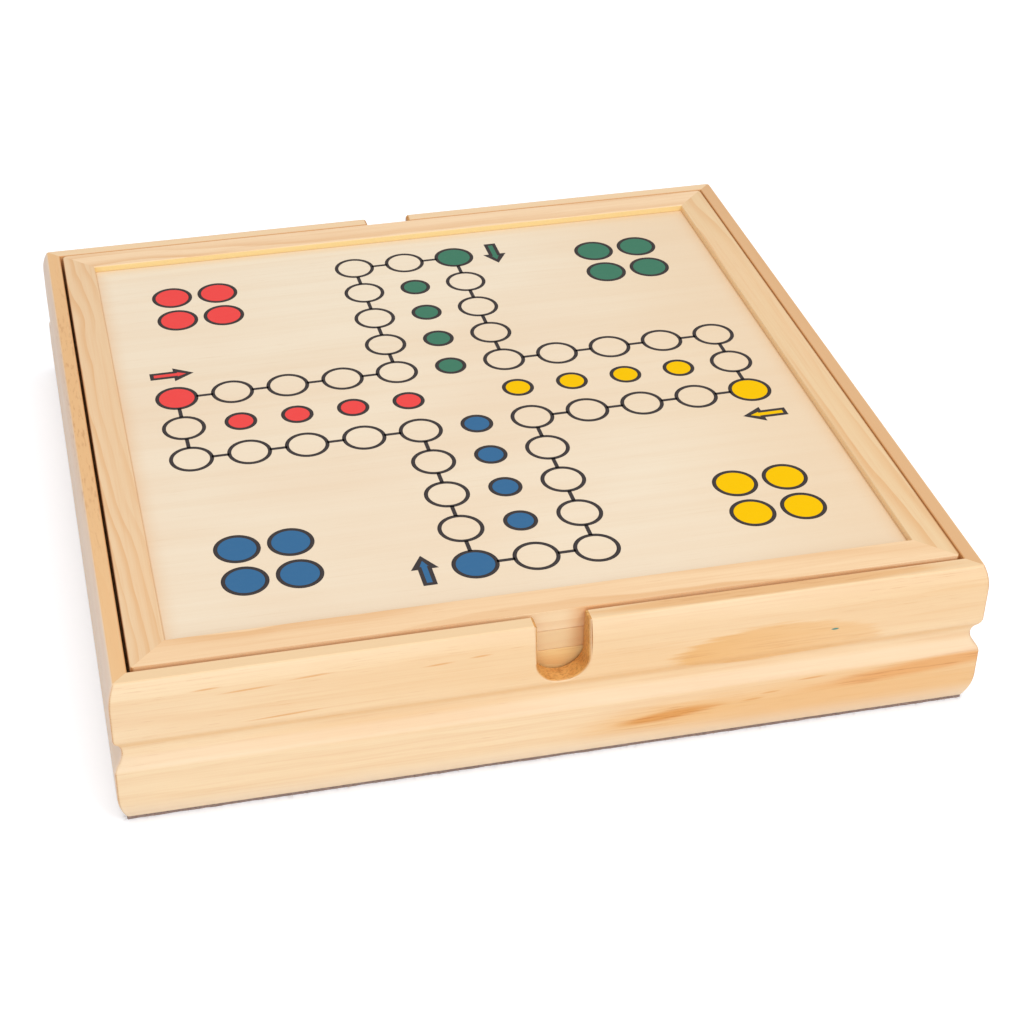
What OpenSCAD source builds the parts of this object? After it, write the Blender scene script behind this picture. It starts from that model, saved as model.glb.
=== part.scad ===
// Pine games box with two lift-out boards. A framed ludo board lies on a framed
// draughts board in the mouth of a shallow box with moulded, mitred walls. Both are
// lifted out by the finger notches in the front and back walls. Below them a frame of
// halved dividers holds the pawns, the dice and the draughtsmen.
// Millimetres, +Z up, +Y towards the back. The origin is under the middle of the felt.

/* [Box] */
// Width of the box over the fullest part of the moulding, side to side
box_w = 300; // [270:1:420]
// Depth of the box over the fullest part of the moulding, front to back
box_d = 300; // [270:1:420]
// Height of the wooden walls, without the felt
wall_h = 56.5; // [48:0.5:90]
// Thickness of the walls at the fullest part of the moulding
wall_t = 7.8; // [7:0.1:12]
// Thickness of the plywood bottom panel
bottom_t = 4; // [3:0.1:8]
// Depth of the rebate round the foot of the walls that takes the bottom panel
rebate = 3; // [2:0.1:3.5]
// Thickness of the felt glued under the box
felt_t = 2; // [1:0.1:5]
// Width of the margin between the felt's edge and the foot of the walls
felt_inset = 0.5; // [0:0.1:5]

/* [Moulding] */
// Set-back of the band above the cove from the band below it
upper_set_back = 0.3; // [0:0.1:1]
// Radius of the round that leans the upper band in towards the rim
top_round_r = 21.6; // [14:0.1:60]
// Height of that round, down from the rim
top_round_h = 9.5; // [4:0.1:12]
// Radius of the cove
cove_r = 6.7; // [4:0.1:8]
// Depth of the cove, in from the upper band
cove_depth = 2.6; // [1:0.1:3]
// Distance of the cove's middle below the rim
cove_drop = 29; // [27:0.1:30]
// Radius of the shoulder above the cove
upper_shoulder_r = 5; // [1:0.1:5.5]
// Radius of the shoulder below the cove
lower_shoulder_r = 4; // [1:0.1:4.5]
// Radius of the round that leans the lower band in towards the foot
foot_round_r = 25; // [20:0.1:60]
// Height of that round, up from the foot
foot_round_h = 10.5; // [4:0.1:10.5]
// Radius of the easing on the inner edge of the rim
rim_ease = 0.5; // [0.2:0.1:1.5]
// Radius of the easing on the outer edge of the rim
rim_arris_r = 0.9; // [0.3:0.1:2]
// How far the sanded corners of the box are taken back, along the mitres
corner_ease = 0.5; // [0.1:0.1:1]

/* [Finger notches] */
// Width of the finger notches in the front and back walls
notch_w = 17.5; // [14:0.1:26]
// Depth of the finger notches, down from the rim
notch_depth = 22.8; // [18:0.1:25]
// Radius of the lips where a notch meets the rim
notch_lip_r = 1.8; // [0.5:0.1:4]
// Radius of the rounding of a notch's edge on the moulded face
notch_outer_r = 1.2; // [0.3:0.1:2.5]
// Radius of the rounding of a notch's edge inside the box
notch_inner_r = 0.6; // [0.2:0.1:2.5]

/* [Boards] */
// Thickness of a board's frame
board_t = 8.1; // [6:0.1:12]
// Gap between a board and the walls, all round
board_gap = 1; // [0.5:0.1:2]
// Height of the top board above the rim
board_proud = 0.4; // [0:0.1:2]
// How far to the right of the middle the boards happen to lie in their gap
board_shift = 0.15; // [0:0.05:0.4]
// Width of a board's frame rails
rail_w = 12.4; // [9:0.1:20]
// Easing of the long edges of the frame rails
rail_ease = 0.5; // [0.2:0.1:1.2]
// Corner radius of a board
board_corner_r = 1.8; // [1:0.1:4]
// Thickness of a board's plywood panel
panel_t = 3.2; // [2:0.1:4]
// Depth of the groove in the rails that holds the panel
groove_depth = 4; // [2:0.1:6]
// Room between the panel's edge and the bottom of its groove
panel_room = 0.3; // [0.1:0.1:1]

/* [Compartments] */
// Thickness of the compartment frame's rails
tray_rail_t = 5; // [4:0.1:8]
// Thickness of the dividers
divider_t = 4; // [3:0.1:6]
// Depth of the housings in the rails that the dividers' ends stand in
housing = 2; // [1:0.1:2.5]
// Room on each side of a divider in a housing or a halving
joint_gap = 0.1; // [0.05:0.05:0.3]
// Easing of the long top edges of the compartment frame
tray_ease = 0.4; // [0.1:0.1:1]
// Distance by which the dividers stop below the top of the rails
divider_drop = 1; // [0:0.1:5]
// Distance of the long dividers from the middle of the box, to front and back
long_divider_y = 45; // [40:1:60]
// Distance of the cross dividers from the middle of the box, to left and right
cross_divider_x = 45; // [42:1:60]

/* [Pawns] */
// Diameter of a pawn's base
pawn_base_d = 12.8; // [11:0.1:15]
// Height of a pawn
pawn_h = 26; // [22:0.5:28]
// Diameter of a pawn's head
pawn_head_d = 9; // [7:0.1:10]
// Diameter of a pawn's neck
pawn_neck_d = 4.8; // [4:0.1:6]
// Thickness of a pawn's foot
pawn_foot_t = 2.6; // [2:0.1:4]

/* [Dice] */
// Edge of a die
die_size = 16; // [12:0.5:20]
// Diameter of a die's rounding ball, as a multiple of its edge
die_ball = 1.42; // [1.35:0.01:1.6]
// Diameter of the ball that cuts a pip
pip_ball_d = 3.6; // [2:0.1:4]
// Depth of a pip
pip_depth = 0.8; // [0.4:0.1:1]

/* [Draughtsmen] */
// Diameter of a draughtsman
man_d = 24; // [18:0.5:26]
// Thickness of a draughtsman
man_t = 6; // [4:0.1:7]
// Bevel round a draughtsman's edges
man_bevel = 0.7; // [0.3:0.1:1.5]
// Radius of the turned groove on both faces of a draughtsman
man_groove_r = 0.9; // [0.4:0.1:1.2]
// Hairline of air between the draughtsmen of a stack
man_air = 0.05; // [0.02:0.01:0.1]

/* [Hidden] */
arc_step = 7;                              // degrees between the points of an arc
slack = 1;                                 // how far a cutter runs past what it cuts
$fn = 48;

COLOURS = ["red", "green", "yellow", "blue"];
SHADES = ["light", "dark"];
SIDES = ["back", "left", "front", "right"]; // in steps of a quarter turn
PAWNS = 4;                                 // pawns of each colour
DICE = 2;
STACKS = 3;                                // stacks of draughtsmen of each shade
MEN = 4;                                   // draughtsmen in a stack

pine = "#f2d3a0";
frame_pine = "#efcf9f";
cream_ply = "#f3e2c6";
ledge_pine = "#e6bd7d";
felt_grey = "#6d6468";
PAINT = ["#ed5353", "#43855f", "#fcd100", "#38689e"];
MAN_COLOURS = ["#ecd2a2", "#6b452c"];

// Inside of the walls, and the levels of what is stacked between them
inner_w = box_w - 2 * wall_t;
inner_d = box_d - 2 * wall_t;
rim_z = felt_t + wall_h;
floor_z = felt_t + bottom_t;
top_board_z = rim_z + board_proud - board_t;
lower_board_z = top_board_z - board_t;
tray_h = lower_board_z - floor_z;
divider_h = tray_h - divider_drop;

// Moulding: the cove's centre, and the shoulders' centres, which touch the cove's circle
upper_t = wall_t - upper_set_back;
cove_c = [upper_t - cove_depth + cove_r, wall_h - cove_drop];
function beside_cove(band_t, r) =
    sqrt((cove_r + r) ^ 2 - (cove_c.x - band_t + r) ^ 2);
upper_shoulder_c = [upper_t - upper_shoulder_r,
                    cove_c.y + beside_cove(upper_t, upper_shoulder_r)];
lower_shoulder_c = [wall_t - lower_shoulder_r,
                    cove_c.y - beside_cove(wall_t, lower_shoulder_r)];
top_round_c = [upper_t - top_round_r, wall_h - top_round_h];
arris_lean = asin((top_round_h - rim_arris_r) / (top_round_r - rim_arris_r));
arris_c = top_round_c + (top_round_r - rim_arris_r) * [cos(arris_lean), sin(arris_lean)];
foot_lean = asin(foot_round_h / foot_round_r);
foot_t = wall_t - foot_round_r * (1 - cos(foot_lean));

// Boards: outer size of the frame, and the opening that shows the panel
board_w = inner_w - 2 * board_gap;
board_d = inner_d - 2 * board_gap;
opening_w = board_w - 2 * rail_w;
opening_d = board_d - 2 * rail_w;
groove_z = (board_t - panel_t) / 2;

// Compartment frame: as large as the boards, so that they lie flush on it
clear_w = board_w - 2 * tray_rail_t;
clear_d = board_d - 2 * tray_rail_t;

// Where the loose pieces are stored in the compartments
row_margin = 3;                            // from a rail to the pieces stored along it
pawn_step = pawn_base_d + 3;
man_step = man_d + 2;
side_cell_x = (cross_divider_x + divider_t / 2 + clear_w / 2) / 2;

// Points of an arc round c, from angle a0 to angle a1
function arc(c, r, a0, a1) =
    let (n = max(1, ceil(abs(a1 - a0) / arc_step)))
    [for (i = [0:n]) let (a = a0 + (a1 - a0) * i / n) c + r * [cos(a), sin(a)]];
function bearing(from, to) = atan2(to.y - from.y, to.x - from.x);

// Moulded face of a wall from foot to rim. x runs out from the inner face and y up from
// the foot.
moulded_face = concat(
    arc([wall_t - foot_round_r, foot_round_h], foot_round_r, -foot_lean, 0),
    arc(lower_shoulder_c, lower_shoulder_r, 0, bearing(lower_shoulder_c, cove_c)),
    arc(cove_c, cove_r, 360 + bearing(cove_c, lower_shoulder_c), bearing(cove_c, upper_shoulder_c)),
    arc(upper_shoulder_c, upper_shoulder_r, bearing(upper_shoulder_c, cove_c), 0),
    arc(top_round_c, top_round_r, 0, arris_lean),
    arc(arris_c, rim_arris_r, arris_lean, 90));

// Section of a wall: the moulded face, the eased inner edge of the rim, and the rebate
wall_section = concat(
    [[rebate, 0]],
    moulded_face,
    arc([rim_ease, wall_h - rim_ease], rim_ease, 90, 180),
    [[0, bottom_t], [rebate, bottom_t]]);

// Section of a board's frame rail, with its eased edges and the groove for the panel
rail_section = concat(
    arc([rail_ease, rail_ease], rail_ease, 180, 270),
    arc([rail_w - rail_ease, rail_ease], rail_ease, 270, 360),
    arc([rail_w - rail_ease, board_t - rail_ease], rail_ease, 0, 90),
    arc([rail_ease, board_t - rail_ease], rail_ease, 90, 180),
    [[0, groove_z + panel_t], [groove_depth, groove_z + panel_t],
     [groove_depth, groove_z], [0, groove_z]]);

// Section of a bar t thick and h high, standing on y = 0, with its top edges eased
function eased_bar(t, h) = concat(
    [[0, 0], [t, 0]],
    arc([t - tray_ease, h - tray_ease], tray_ease, 0, 90),
    arc([tray_ease, h - tray_ease], tray_ease, 90, 180));

// Puts a piece that is drawn as the back one, with its inner face on y = 0, on one side
// of an opening of w by d. Sides count in quarter turns: back, left, front, right.
module on_side(side, w, d) {
    rotate(90 * side) translate([0, (side % 2 == 0 ? d : w) / 2, 0]) children();
}

function along(side, w, d) = side % 2 == 0 ? w : d;

// A length of the section given as the child, mitred at 45 degrees at both ends
module mitred(length, t, h) {
    intersection() {
        rotate([90, 0, 90]) linear_extrude(length + 2 * slack, center = true) children();
        translate([0, 0, -slack]) linear_extrude(h + 2 * slack)
            polygon([for (e = [[-1, 0], [1, 0], [1, 1], [-1, 1]])
                [e.x * (length / 2 - (e.y == 0 ? t + slack : -slack)),
                 e.y == 0 ? -slack : t + slack]]);
    }
}

// Outline of a finger notch, with the rim on y = 0: a U with rounded lips
module notch_outline() {
    r = notch_w / 2;
    translate([0, r - notch_depth]) circle(r);
    translate([-r, r - notch_depth]) square([notch_w, notch_depth - r + slack]);
    for (s = [-1, 1])
        difference() {
            translate([s * (r + notch_lip_r / 2), (slack - notch_lip_r) / 2])
                square([notch_lip_r, notch_lip_r + slack], center = true);
            translate([s * (r + notch_lip_r), -notch_lip_r]) circle(notch_lip_r);
        }
}

// What a round-over bit of radius r takes off an arris. The notch's own face is on x = 0,
// the face of the wall on y = 0, and the wood lies in the positive quarter.
module round_over(r) {
    difference() {
        translate([-slack, -slack]) square(r + slack);
        translate([r, r]) circle(r);
    }
}

// Runs the section given as the child round the U of a notch and up its sides to top_z.
// x is measured from the notch's own face and y is the depth in the wall.
module round_notch(top_z) {
    r = notch_w / 2;
    bottom_z = wall_h - notch_depth + r;
    translate([0, 0, bottom_z]) {
        rotate([-90, 0, 0]) rotate_extrude(angle = 180) translate([r, 0]) children();
        for (s = [0, 1]) mirror([s, 0, 0])
            linear_extrude(top_z - bottom_z) translate([r, 0]) children();
    }
}

// Rounding of a notch's outer edge. Above the flat band it follows the round that leans
// in to the rim, so there it turns about that round's own axis.
module outer_round_over() {
    round_notch(wall_h - top_round_h)
        translate([0, upper_t]) mirror([0, 1]) round_over(notch_outer_r);
    sweep = asin(top_round_h / (top_round_r - notch_outer_r)) + arc_step;
    for (s = [0, 1]) mirror([s, 0, 0])
        translate([0, top_round_c.x, top_round_c.y]) rotate([0, 90, 0]) rotate(90)
            rotate_extrude(angle = sweep) translate([top_round_r, notch_w / 2])
                rotate(90) round_over(notch_outer_r);
}

module notch_cut() {
    translate([0, wall_t / 2, wall_h]) rotate([90, 0, 0])
        linear_extrude(wall_t + 2 * slack, center = true) notch_outline();
    outer_round_over();
    round_notch(wall_h + slack) round_over(notch_inner_r);
}

// Space inside a box corner that is taken back by corner_ease along the whole moulding.
// Seen along the diagonal, the moulding is as deep as its section times the root of two.
module corner_space(end, length) {
    face = [for (p = moulded_face) [p.x * sqrt(2) - corner_ease, p.y]];
    first = face[0];
    last = face[len(face) - 1];
    translate([end * (length / 2 - wall_t), 0, 0]) rotate(-45 * end) rotate([90, 0, 90])
        linear_extrude(2 * length, center = true)
            polygon(concat([[-length, -slack], [first.x, -slack]], face,
                           [[last.x, wall_h + slack], [-length, wall_h + slack]]));
}

module wall(side) {
    length = along(side, box_w, box_d);
    color(pine) on_side(side, inner_w, inner_d) translate([0, 0, felt_t])
        difference() {
            intersection() {
                mitred(length, wall_t, wall_h) polygon(wall_section);
                corner_space(-1, length);
                corner_space(1, length);
            }
            if (side % 2 == 0) notch_cut();
        }
}

module bottom_panel() {
    color(cream_ply) translate([0, 0, felt_t + bottom_t / 2])
        cube([inner_w + 2 * (rebate - joint_gap), inner_d + 2 * (rebate - joint_gap), bottom_t],
             center = true);
}

module felt_base() {
    margin = 2 * (foot_t - felt_inset);
    color(felt_grey) translate([0, 0, felt_t / 2])
        cube([inner_w + margin, inner_d + margin, felt_t], center = true);
}

// A plate with round corners, for trimming a board's corners
module rounded_plate(w, d, r, h) {
    linear_extrude(h) {
        square([w - 2 * r, d], center = true);
        square([w, d - 2 * r], center = true);
        for (x = [-1, 1], y = [-1, 1])
            translate([x * (w / 2 - r), y * (d / 2 - r)]) circle(r);
    }
}

module board_rail(side, z) {
    color(frame_pine) translate([board_shift, 0, z])
        intersection() {
            on_side(side, opening_w, opening_d)
                mitred(along(side, board_w, board_d), rail_w, board_t) polygon(rail_section);
            translate([0, 0, -slack])
                rounded_plate(board_w, board_d, board_corner_r, board_t + 2 * slack);
        }
}

module board_panel(z) {
    hold = 2 * (groove_depth - panel_room);
    color(cream_ply) translate([board_shift, 0, z + board_t / 2])
        cube([opening_w + hold, opening_d + hold, panel_t], center = true);
}

// A housing across the inner face of a rail, at x along it
module housing_cut(x) {
    width = divider_t + 2 * joint_gap;
    translate([x - width / 2, -slack, -slack]) cube([width, housing + slack, tray_h + 2 * slack]);
}

module tray_rail(side) {
    divider_at = along(side, cross_divider_x, long_divider_y);
    color(ledge_pine) on_side(side, clear_w, clear_d) translate([0, 0, floor_z])
        difference() {
            mitred(along(side, board_w, board_d), tray_rail_t, tray_h)
                polygon(eased_bar(tray_rail_t, tray_h));
            housing_cut(-divider_at);
            housing_cut(divider_at);
        }
}

// A divider along X, halved over the two that cross it at x = -at and x = at.
// Its notches are open at the top, or at the foot if it is the one that drops on.
module divider(clear, at, open_at_top) {
    width = divider_t + 2 * joint_gap;
    half = divider_h / 2 + joint_gap;
    length = clear + 2 * (housing - joint_gap);
    difference() {
        translate([0, -divider_t / 2, 0]) rotate([90, 0, 90])
            linear_extrude(length, center = true) polygon(eased_bar(divider_t, divider_h));
        for (x = [-at, at])
            translate([x - width / 2, -divider_t / 2 - slack,
                       open_at_top ? divider_h - half : -slack])
                cube([width, divider_t + 2 * slack, half + slack]);
    }
}

module long_divider(side_y) {
    color(ledge_pine) translate([0, side_y * long_divider_y, floor_z])
        divider(clear_w, cross_divider_x, true);
}

module cross_divider(side_x) {
    color(ledge_pine) translate([side_x * cross_divider_x, 0, floor_z]) rotate(90)
        divider(clear_d, long_divider_y, false);
}

// Half section of a turned pawn: bevelled foot, waisted body and round head
module pawn_section() {
    base_r = pawn_base_d / 2;
    neck_r = pawn_neck_d / 2;
    head_r = pawn_head_d / 2;
    head_z = pawn_h - head_r;
    neck_z = head_z - sqrt(head_r ^ 2 - neck_r ^ 2);
    bevel = 0.6;
    skirt_r = base_r - 2 * bevel;
    waist_r = 60;                          // radius of the hollow curve of the body
    chord = [neck_r, neck_z] - [skirt_r, pawn_foot_t];
    lean = atan2(chord.y, chord.x);
    bow = asin(norm(chord) / 2 / waist_r);
    waist_c = ([neck_r, neck_z] + [skirt_r, pawn_foot_t]) / 2
        + waist_r * cos(bow) * [sin(lean), -cos(lean)];
    polygon(concat(
        [[0, 0], [base_r - bevel, 0], [base_r, bevel], [base_r, pawn_foot_t - bevel],
         [base_r - bevel, pawn_foot_t]],
        arc(waist_c, waist_r, lean + 90 + bow, lean + 90 - bow),
        [[neck_r, head_z], [0, head_z]]));
    intersection() {
        translate([0, head_z]) circle(head_r);
        translate([0, head_z - head_r]) square(2 * head_r);
    }
}

// Pawns stand in a row along the outer rail of the corner compartment of their colour
module pawn(colour, i) {
    sx = colour == 0 || colour == 3 ? -1 : 1;
    sy = colour < 2 ? 1 : -1;
    color(PAINT[colour])
        translate([sx * side_cell_x + (i - (PAWNS + 1) / 2) * pawn_step,
                   sy * (clear_d / 2 - row_margin - pawn_base_d / 2), floor_z])
        rotate_extrude() pawn_section();
}

// Places of the pips for a number, in steps from the middle of a die's face
function pips(n) = concat(
    n % 2 == 1 ? [[0, 0]] : [],
    n >= 2 ? [[-1, -1], [1, 1]] : [],
    n >= 4 ? [[-1, 1], [1, -1]] : [],
    n == 6 ? [[-1, 0], [1, 0]] : []);

// A die with its ball-rounded corners. Opposite faces add up to seven.
module die_body() {
    pip_step = die_size / 4;
    faces = [[1, [0, 0, 0]], [6, [180, 0, 0]], [2, [90, 0, 0]],
             [5, [-90, 0, 0]], [3, [0, 90, 0]], [4, [0, -90, 0]]];
    difference() {
        intersection() {
            cube(die_size, center = true);
            sphere(d = die_size * die_ball);
        }
        for (f = faces) rotate(f[1])
            for (p = pips(f[0]))
                translate([p.x * pip_step, p.y * pip_step,
                           die_size / 2 + pip_ball_d / 2 - pip_depth])
                    sphere(d = pip_ball_d);
    }
}

module die(i) {
    places = [[-27, -29, 20], [2, -28, -35]]; // x, y and turn of each die on the floor
    place = places[i - 1];
    color("#f4ead6") translate([place.x, place.y, floor_z + die_size / 2])
        rotate([0, 0, place.z]) rotate([90 * (i - 1), 0, 0]) die_body();
}

// Half section of a turned draughtsman, with a groove on both faces
module man_section() {
    r = man_d / 2;
    groove_at = r * 2 / 3;
    difference() {
        polygon([[0, 0], [r - man_bevel, 0], [r, man_bevel], [r, man_t - man_bevel],
                 [r - man_bevel, man_t], [0, man_t]]);
        for (y = [0, man_t]) translate([groove_at, y]) circle(man_groove_r);
    }
}

// Stacks of draughtsmen stand in a row in the middle compartment at the back or front
module men_stack(shade, i) {
    sy = shade == 0 ? 1 : -1;
    color(MAN_COLOURS[shade])
        for (k = [0:MEN - 1])
            translate([(i - (STACKS + 1) / 2) * man_step,
                       sy * (clear_d / 2 - row_margin - man_d / 2),
                       floor_z + k * (man_t + man_air)])
            rotate_extrude() man_section();
}

for (s = [0:3]) wall(s);
bottom_panel();
felt_base();
for (s = [0:3]) tray_rail(s);
long_divider(-1);  // front_long_divider
long_divider(1);  // back_long_divider
cross_divider(-1);  // left_cross_divider
cross_divider(1);  // right_cross_divider
for (s = [0:3])
    board_rail(s, top_board_z);
board_panel(top_board_z);  // ludo_panel
for (s = [0:3])
    board_rail(s, lower_board_z);
board_panel(lower_board_z);  // draughts_panel
for (c = [0:3], i = [1:PAWNS])
    pawn(c, i);
for (i = [1:DICE]) die(i);
for (s = [0:1], i = [1:STACKS])
    men_stack(s, i);
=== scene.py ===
# %% [markdown]
# # A pine games box with two lift-out boards
#
# The object is a shallow box of clear-lacquered pine. Its walls are lengths of one
# moulding, mitred at the corners, with a finger notch in the front and in the back. A
# framed ludo board lies in the mouth of the box, a framed draughts board lies under it,
# and below both a frame of thin dividers holds the pawns, dice and draughtsmen.
#
# This lesson starts from the engineering model, which fixes every size and place. It adds
# what a camera sees: smooth moulded walls, eased edges, wood with real growth rings, the
# printed track, the felt with its fuzzy cut edge, and the light.

# %% Load the frame
import math

import bmesh
import bpy
from mathutils import Matrix, Vector, noise


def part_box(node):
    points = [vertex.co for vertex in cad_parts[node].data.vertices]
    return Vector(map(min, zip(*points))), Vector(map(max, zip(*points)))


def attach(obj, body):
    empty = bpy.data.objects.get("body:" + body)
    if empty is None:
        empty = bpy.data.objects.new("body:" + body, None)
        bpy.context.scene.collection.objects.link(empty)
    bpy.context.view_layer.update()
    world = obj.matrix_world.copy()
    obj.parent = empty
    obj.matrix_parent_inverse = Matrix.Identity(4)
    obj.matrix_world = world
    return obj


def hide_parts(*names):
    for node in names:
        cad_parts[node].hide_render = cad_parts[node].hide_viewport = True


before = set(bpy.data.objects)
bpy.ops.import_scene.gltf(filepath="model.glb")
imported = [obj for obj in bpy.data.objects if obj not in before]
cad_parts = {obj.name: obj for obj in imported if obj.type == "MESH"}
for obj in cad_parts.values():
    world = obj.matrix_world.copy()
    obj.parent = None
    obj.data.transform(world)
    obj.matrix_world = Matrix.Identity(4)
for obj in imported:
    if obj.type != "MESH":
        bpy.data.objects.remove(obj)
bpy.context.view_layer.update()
MM = 0.001
WELD = 0.001 * MM                         # points closer than this are one point
SIDES = ("back", "left", "front", "right")  # in steps of a quarter turn


def as_object(name, data):
    thing = bpy.data.objects.new(name, data)
    bpy.context.scene.collection.objects.link(thing)
    return thing


# %% [markdown]
# ## The camera
#
# A product photograph keeps its meaning only if the model is seen from the same place.
# The camera stands in front of the box, a little left of its middle, and looks down at
# about 35 degrees. The picture was cropped afterwards, so its middle isn't where the lens
# pointed: a small sideways shift says the same thing to Blender without turning the lens.

# %% The camera
CAMERA_PLACE = (-159.9 * MM, -679.3 * MM, 490.9 * MM)
CAMERA_TURN = (54.896, 0.513, -11.741)  # degrees
LENS_MM = 74.94                         # on a sensor 36 mm wide
CROP_SHIFT = 0.1082                     # of the picture's width

camera_data = bpy.data.cameras.new("camera")
camera_data.lens = LENS_MM
camera_data.sensor_width = 36
camera_data.shift_x = CROP_SHIFT
camera = as_object("camera", camera_data)
camera.location = CAMERA_PLACE
camera.rotation_euler = [math.radians(angle) for angle in CAMERA_TURN]
bpy.context.scene.camera = camera
print("camera", round(Vector(CAMERA_PLACE).length, 3), "m from the middle of the felt")

# %% [markdown]
# ## Writing node trees as sums
#
# Materials and Geometry Nodes are both trees of nodes, and both need arithmetic. Drawn by
# hand, 1 - mask is a node with a dropdown; written as code it should stay 1 - mask. So a
# socket is wrapped in a small class whose operators add Math nodes, and every other node
# comes from one method that sets its settings first and its sockets second.

# %% A socket that can be calculated with
class Wire:
    """An output socket of a node tree. Arithmetic on it adds Math nodes."""

    def __init__(self, tree, socket):
        self.tree = tree
        self.socket = socket

    def math(self, operation, *values):
        return self.tree.add("ShaderNodeMath", {"operation": operation},
                             dict(enumerate(values)))[0]

    def turned_by(self, operation):
        """What an operation that takes one value, such as SINE, makes of this one."""
        return self.math(operation, self)

    def __add__(self, other):
        return self.math("ADD", self, other)

    def __sub__(self, other):
        return self.math("SUBTRACT", self, other)

    def __rsub__(self, other):
        return self.math("SUBTRACT", other, self)

    def __mul__(self, other):
        return self.math("MULTIPLY", self, other)

    def __truediv__(self, other):
        return self.math("DIVIDE", self, other)

    def __pow__(self, other):
        return self.math("POWER", self, other)

    def __gt__(self, other):
        return self.math("GREATER_THAN", self, other)

    def __lt__(self, other):
        return self.math("LESS_THAN", self, other)

    def __abs__(self):
        return self.turned_by("ABSOLUTE")

    __radd__ = __add__
    __rmul__ = __mul__

    def at_least(self, other):
        return self.math("MAXIMUM", self, other)

    def between(self, low, high):
        """0 below low, 1 above high, and a smooth step between them."""
        ramp = self.tree.add("ShaderNodeMapRange", {"interpolation_type": "SMOOTHSTEP"},
                             {"Value": self, "From Min": low, "From Max": high})
        return ramp["Result"]


# %% A tree that nodes are added to
class Made:
    """A node just made. Its outputs are read by name or by number."""

    def __init__(self, tree, node):
        self.tree = tree
        self.node = node

    def __getitem__(self, key):
        return Wire(self.tree, self.node.outputs[key])


class Tree:
    """Adds nodes to a node tree: a type, its settings, and the values of its sockets."""

    def __init__(self, nodes):
        self.group = nodes

    def add(self, kind, settings=None, sockets=None):
        node = self.group.nodes.new(kind)
        for name, value in (settings or {}).items():
            setattr(node, name, value)
        for key, value in (sockets or {}).items():
            if isinstance(value, Wire):
                self.link(value, node.inputs[key])
            else:
                node.inputs[key].default_value = value
        return Made(self, node)

    def link(self, wire, socket):
        self.group.links.new(wire.socket, socket)

    def geo(self, kind, result, settings=None, **sockets):
        """One output of a new geometry node, whose sockets are given with _ for a space."""
        named = {name.replace("_", " "): value for name, value in sockets.items()}
        return self.add("GeometryNode" + kind, settings, named)[result]

    def parts(self, vector):
        return self.add("ShaderNodeSeparateXYZ", {}, {"Vector": vector})

    def vector(self, x, y, z):
        return self.add("ShaderNodeCombineXYZ", {}, {"X": x, "Y": y, "Z": z})["Vector"]

    def noise(self, x, y, z, detail=2.0, rough=0.5):
        """Smooth noise from 0 to 1, with lumps about one unit of x, y and z across."""
        return self.add("ShaderNodeTexNoise", {"noise_dimensions": "3D"},
                        {"Vector": self.vector(x, y, z), "Scale": 1.0,
                         "Detail": detail, "Roughness": rough})["Fac"]

    def blend(self, amount, below, above, way="MIX"):
        """The colour below, covered with the colour above by an amount from 0 to 1."""
        return self.add("ShaderNodeMix", {"data_type": "RGBA", "blend_type": way},
                        {0: amount, 6: below, 7: above})[2]

    def towards(self, axis):
        """1 where the surface looks along an axis, 0 where it runs along it, -1 against it."""
        return self.parts(self.add("ShaderNodeNewGeometry")["Normal"])[axis]


def srgb(red, green, blue):
    """A colour given in 8-bit sRGB, as the linear numbers that shaders work with."""
    def linear(part):
        part /= 255
        return part / 12.92 if part <= 0.04045 else ((part + 0.055) / 1.055) ** 2.4
    return (linear(red), linear(green), linear(blue), 1)


# %% [markdown]
# ## Wood that is wood all the way through
#
# A picture of wood wrapped round a moulding gives itself away at the mitres and in the
# notch, where the grain should turn to end grain. So the pine here is a solid texture: a
# tree trunk is imagined round an axis far outside the piece, its growth rings are
# cylinders round that axis, and each surface shows where it happens to cut them. Each
# piece has its own trunk, placed so that it shows the figure that the real piece shows.
# Fibres are noise drawn out along the grain, and so are the short brown resin ducts.

# %% A new material with a lacquered or bare surface
def new_material(name, **constants):
    """A material with its Principled shader's constant sockets set, and its tree."""
    material = bpy.data.materials.new(name)
    material.use_nodes = True
    tree = Tree(material.node_tree)
    tree.shader = material.node_tree.nodes["Principled BSDF"]
    for socket, value in constants.items():
        tree.shader.inputs[socket.replace("_", " ")].default_value = value
    return material, tree


def drive(tree, **wires):
    """Links what changes over the surface, such as Base_Color, to the shader."""
    for socket, wire in wires.items():
        tree.link(wire, tree.shader.inputs[socket.replace("_", " ")])


def bump(tree, height, depth, strength):
    """A normal for a surface that is raised by height, from 0 to 1, times a depth in mm."""
    return tree.add("ShaderNodeBump", {}, {"Height": height, "Distance": depth * MM,
                                           "Strength": strength})["Normal"]


# %% Solid pine
AXES = {"X": ("X", "Y", "Z"), "Y": ("Y", "X", "Z"), "Z": ("Z", "X", "Y")}
PALE = srgb(246, 216, 174)      # the wood of spring, most of what is seen
LATE = srgb(226, 166, 102)      # the narrow bands of summer wood
PEACH = srgb(243, 202, 156)     # broad warmer clouds
DUCT = srgb(206, 132, 70)       # resin ducts
RESIN = srgb(240, 186, 118)     # patches soaked with resin
DARK_RESIN = srgb(204, 126, 56)  # the darkest lines in such a patch
END_GRAIN = srgb(214, 146, 72)  # wood cut across, which drinks more lacquer
PORE = srgb(150, 86, 34)        # the dark dots of its resin ducts, seen end on
PAINTED_LIGHT = srgb(255, 232, 202)    # painted light: a highlight on the shoulders that look up, and light from the white floor on the foot
GAP_SHADE = srgb(190, 118, 52)    # painted shade on the arrises that line the gap round the board
BURNT = srgb(232, 172, 90)      # the notch, browned by its cutter
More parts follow.
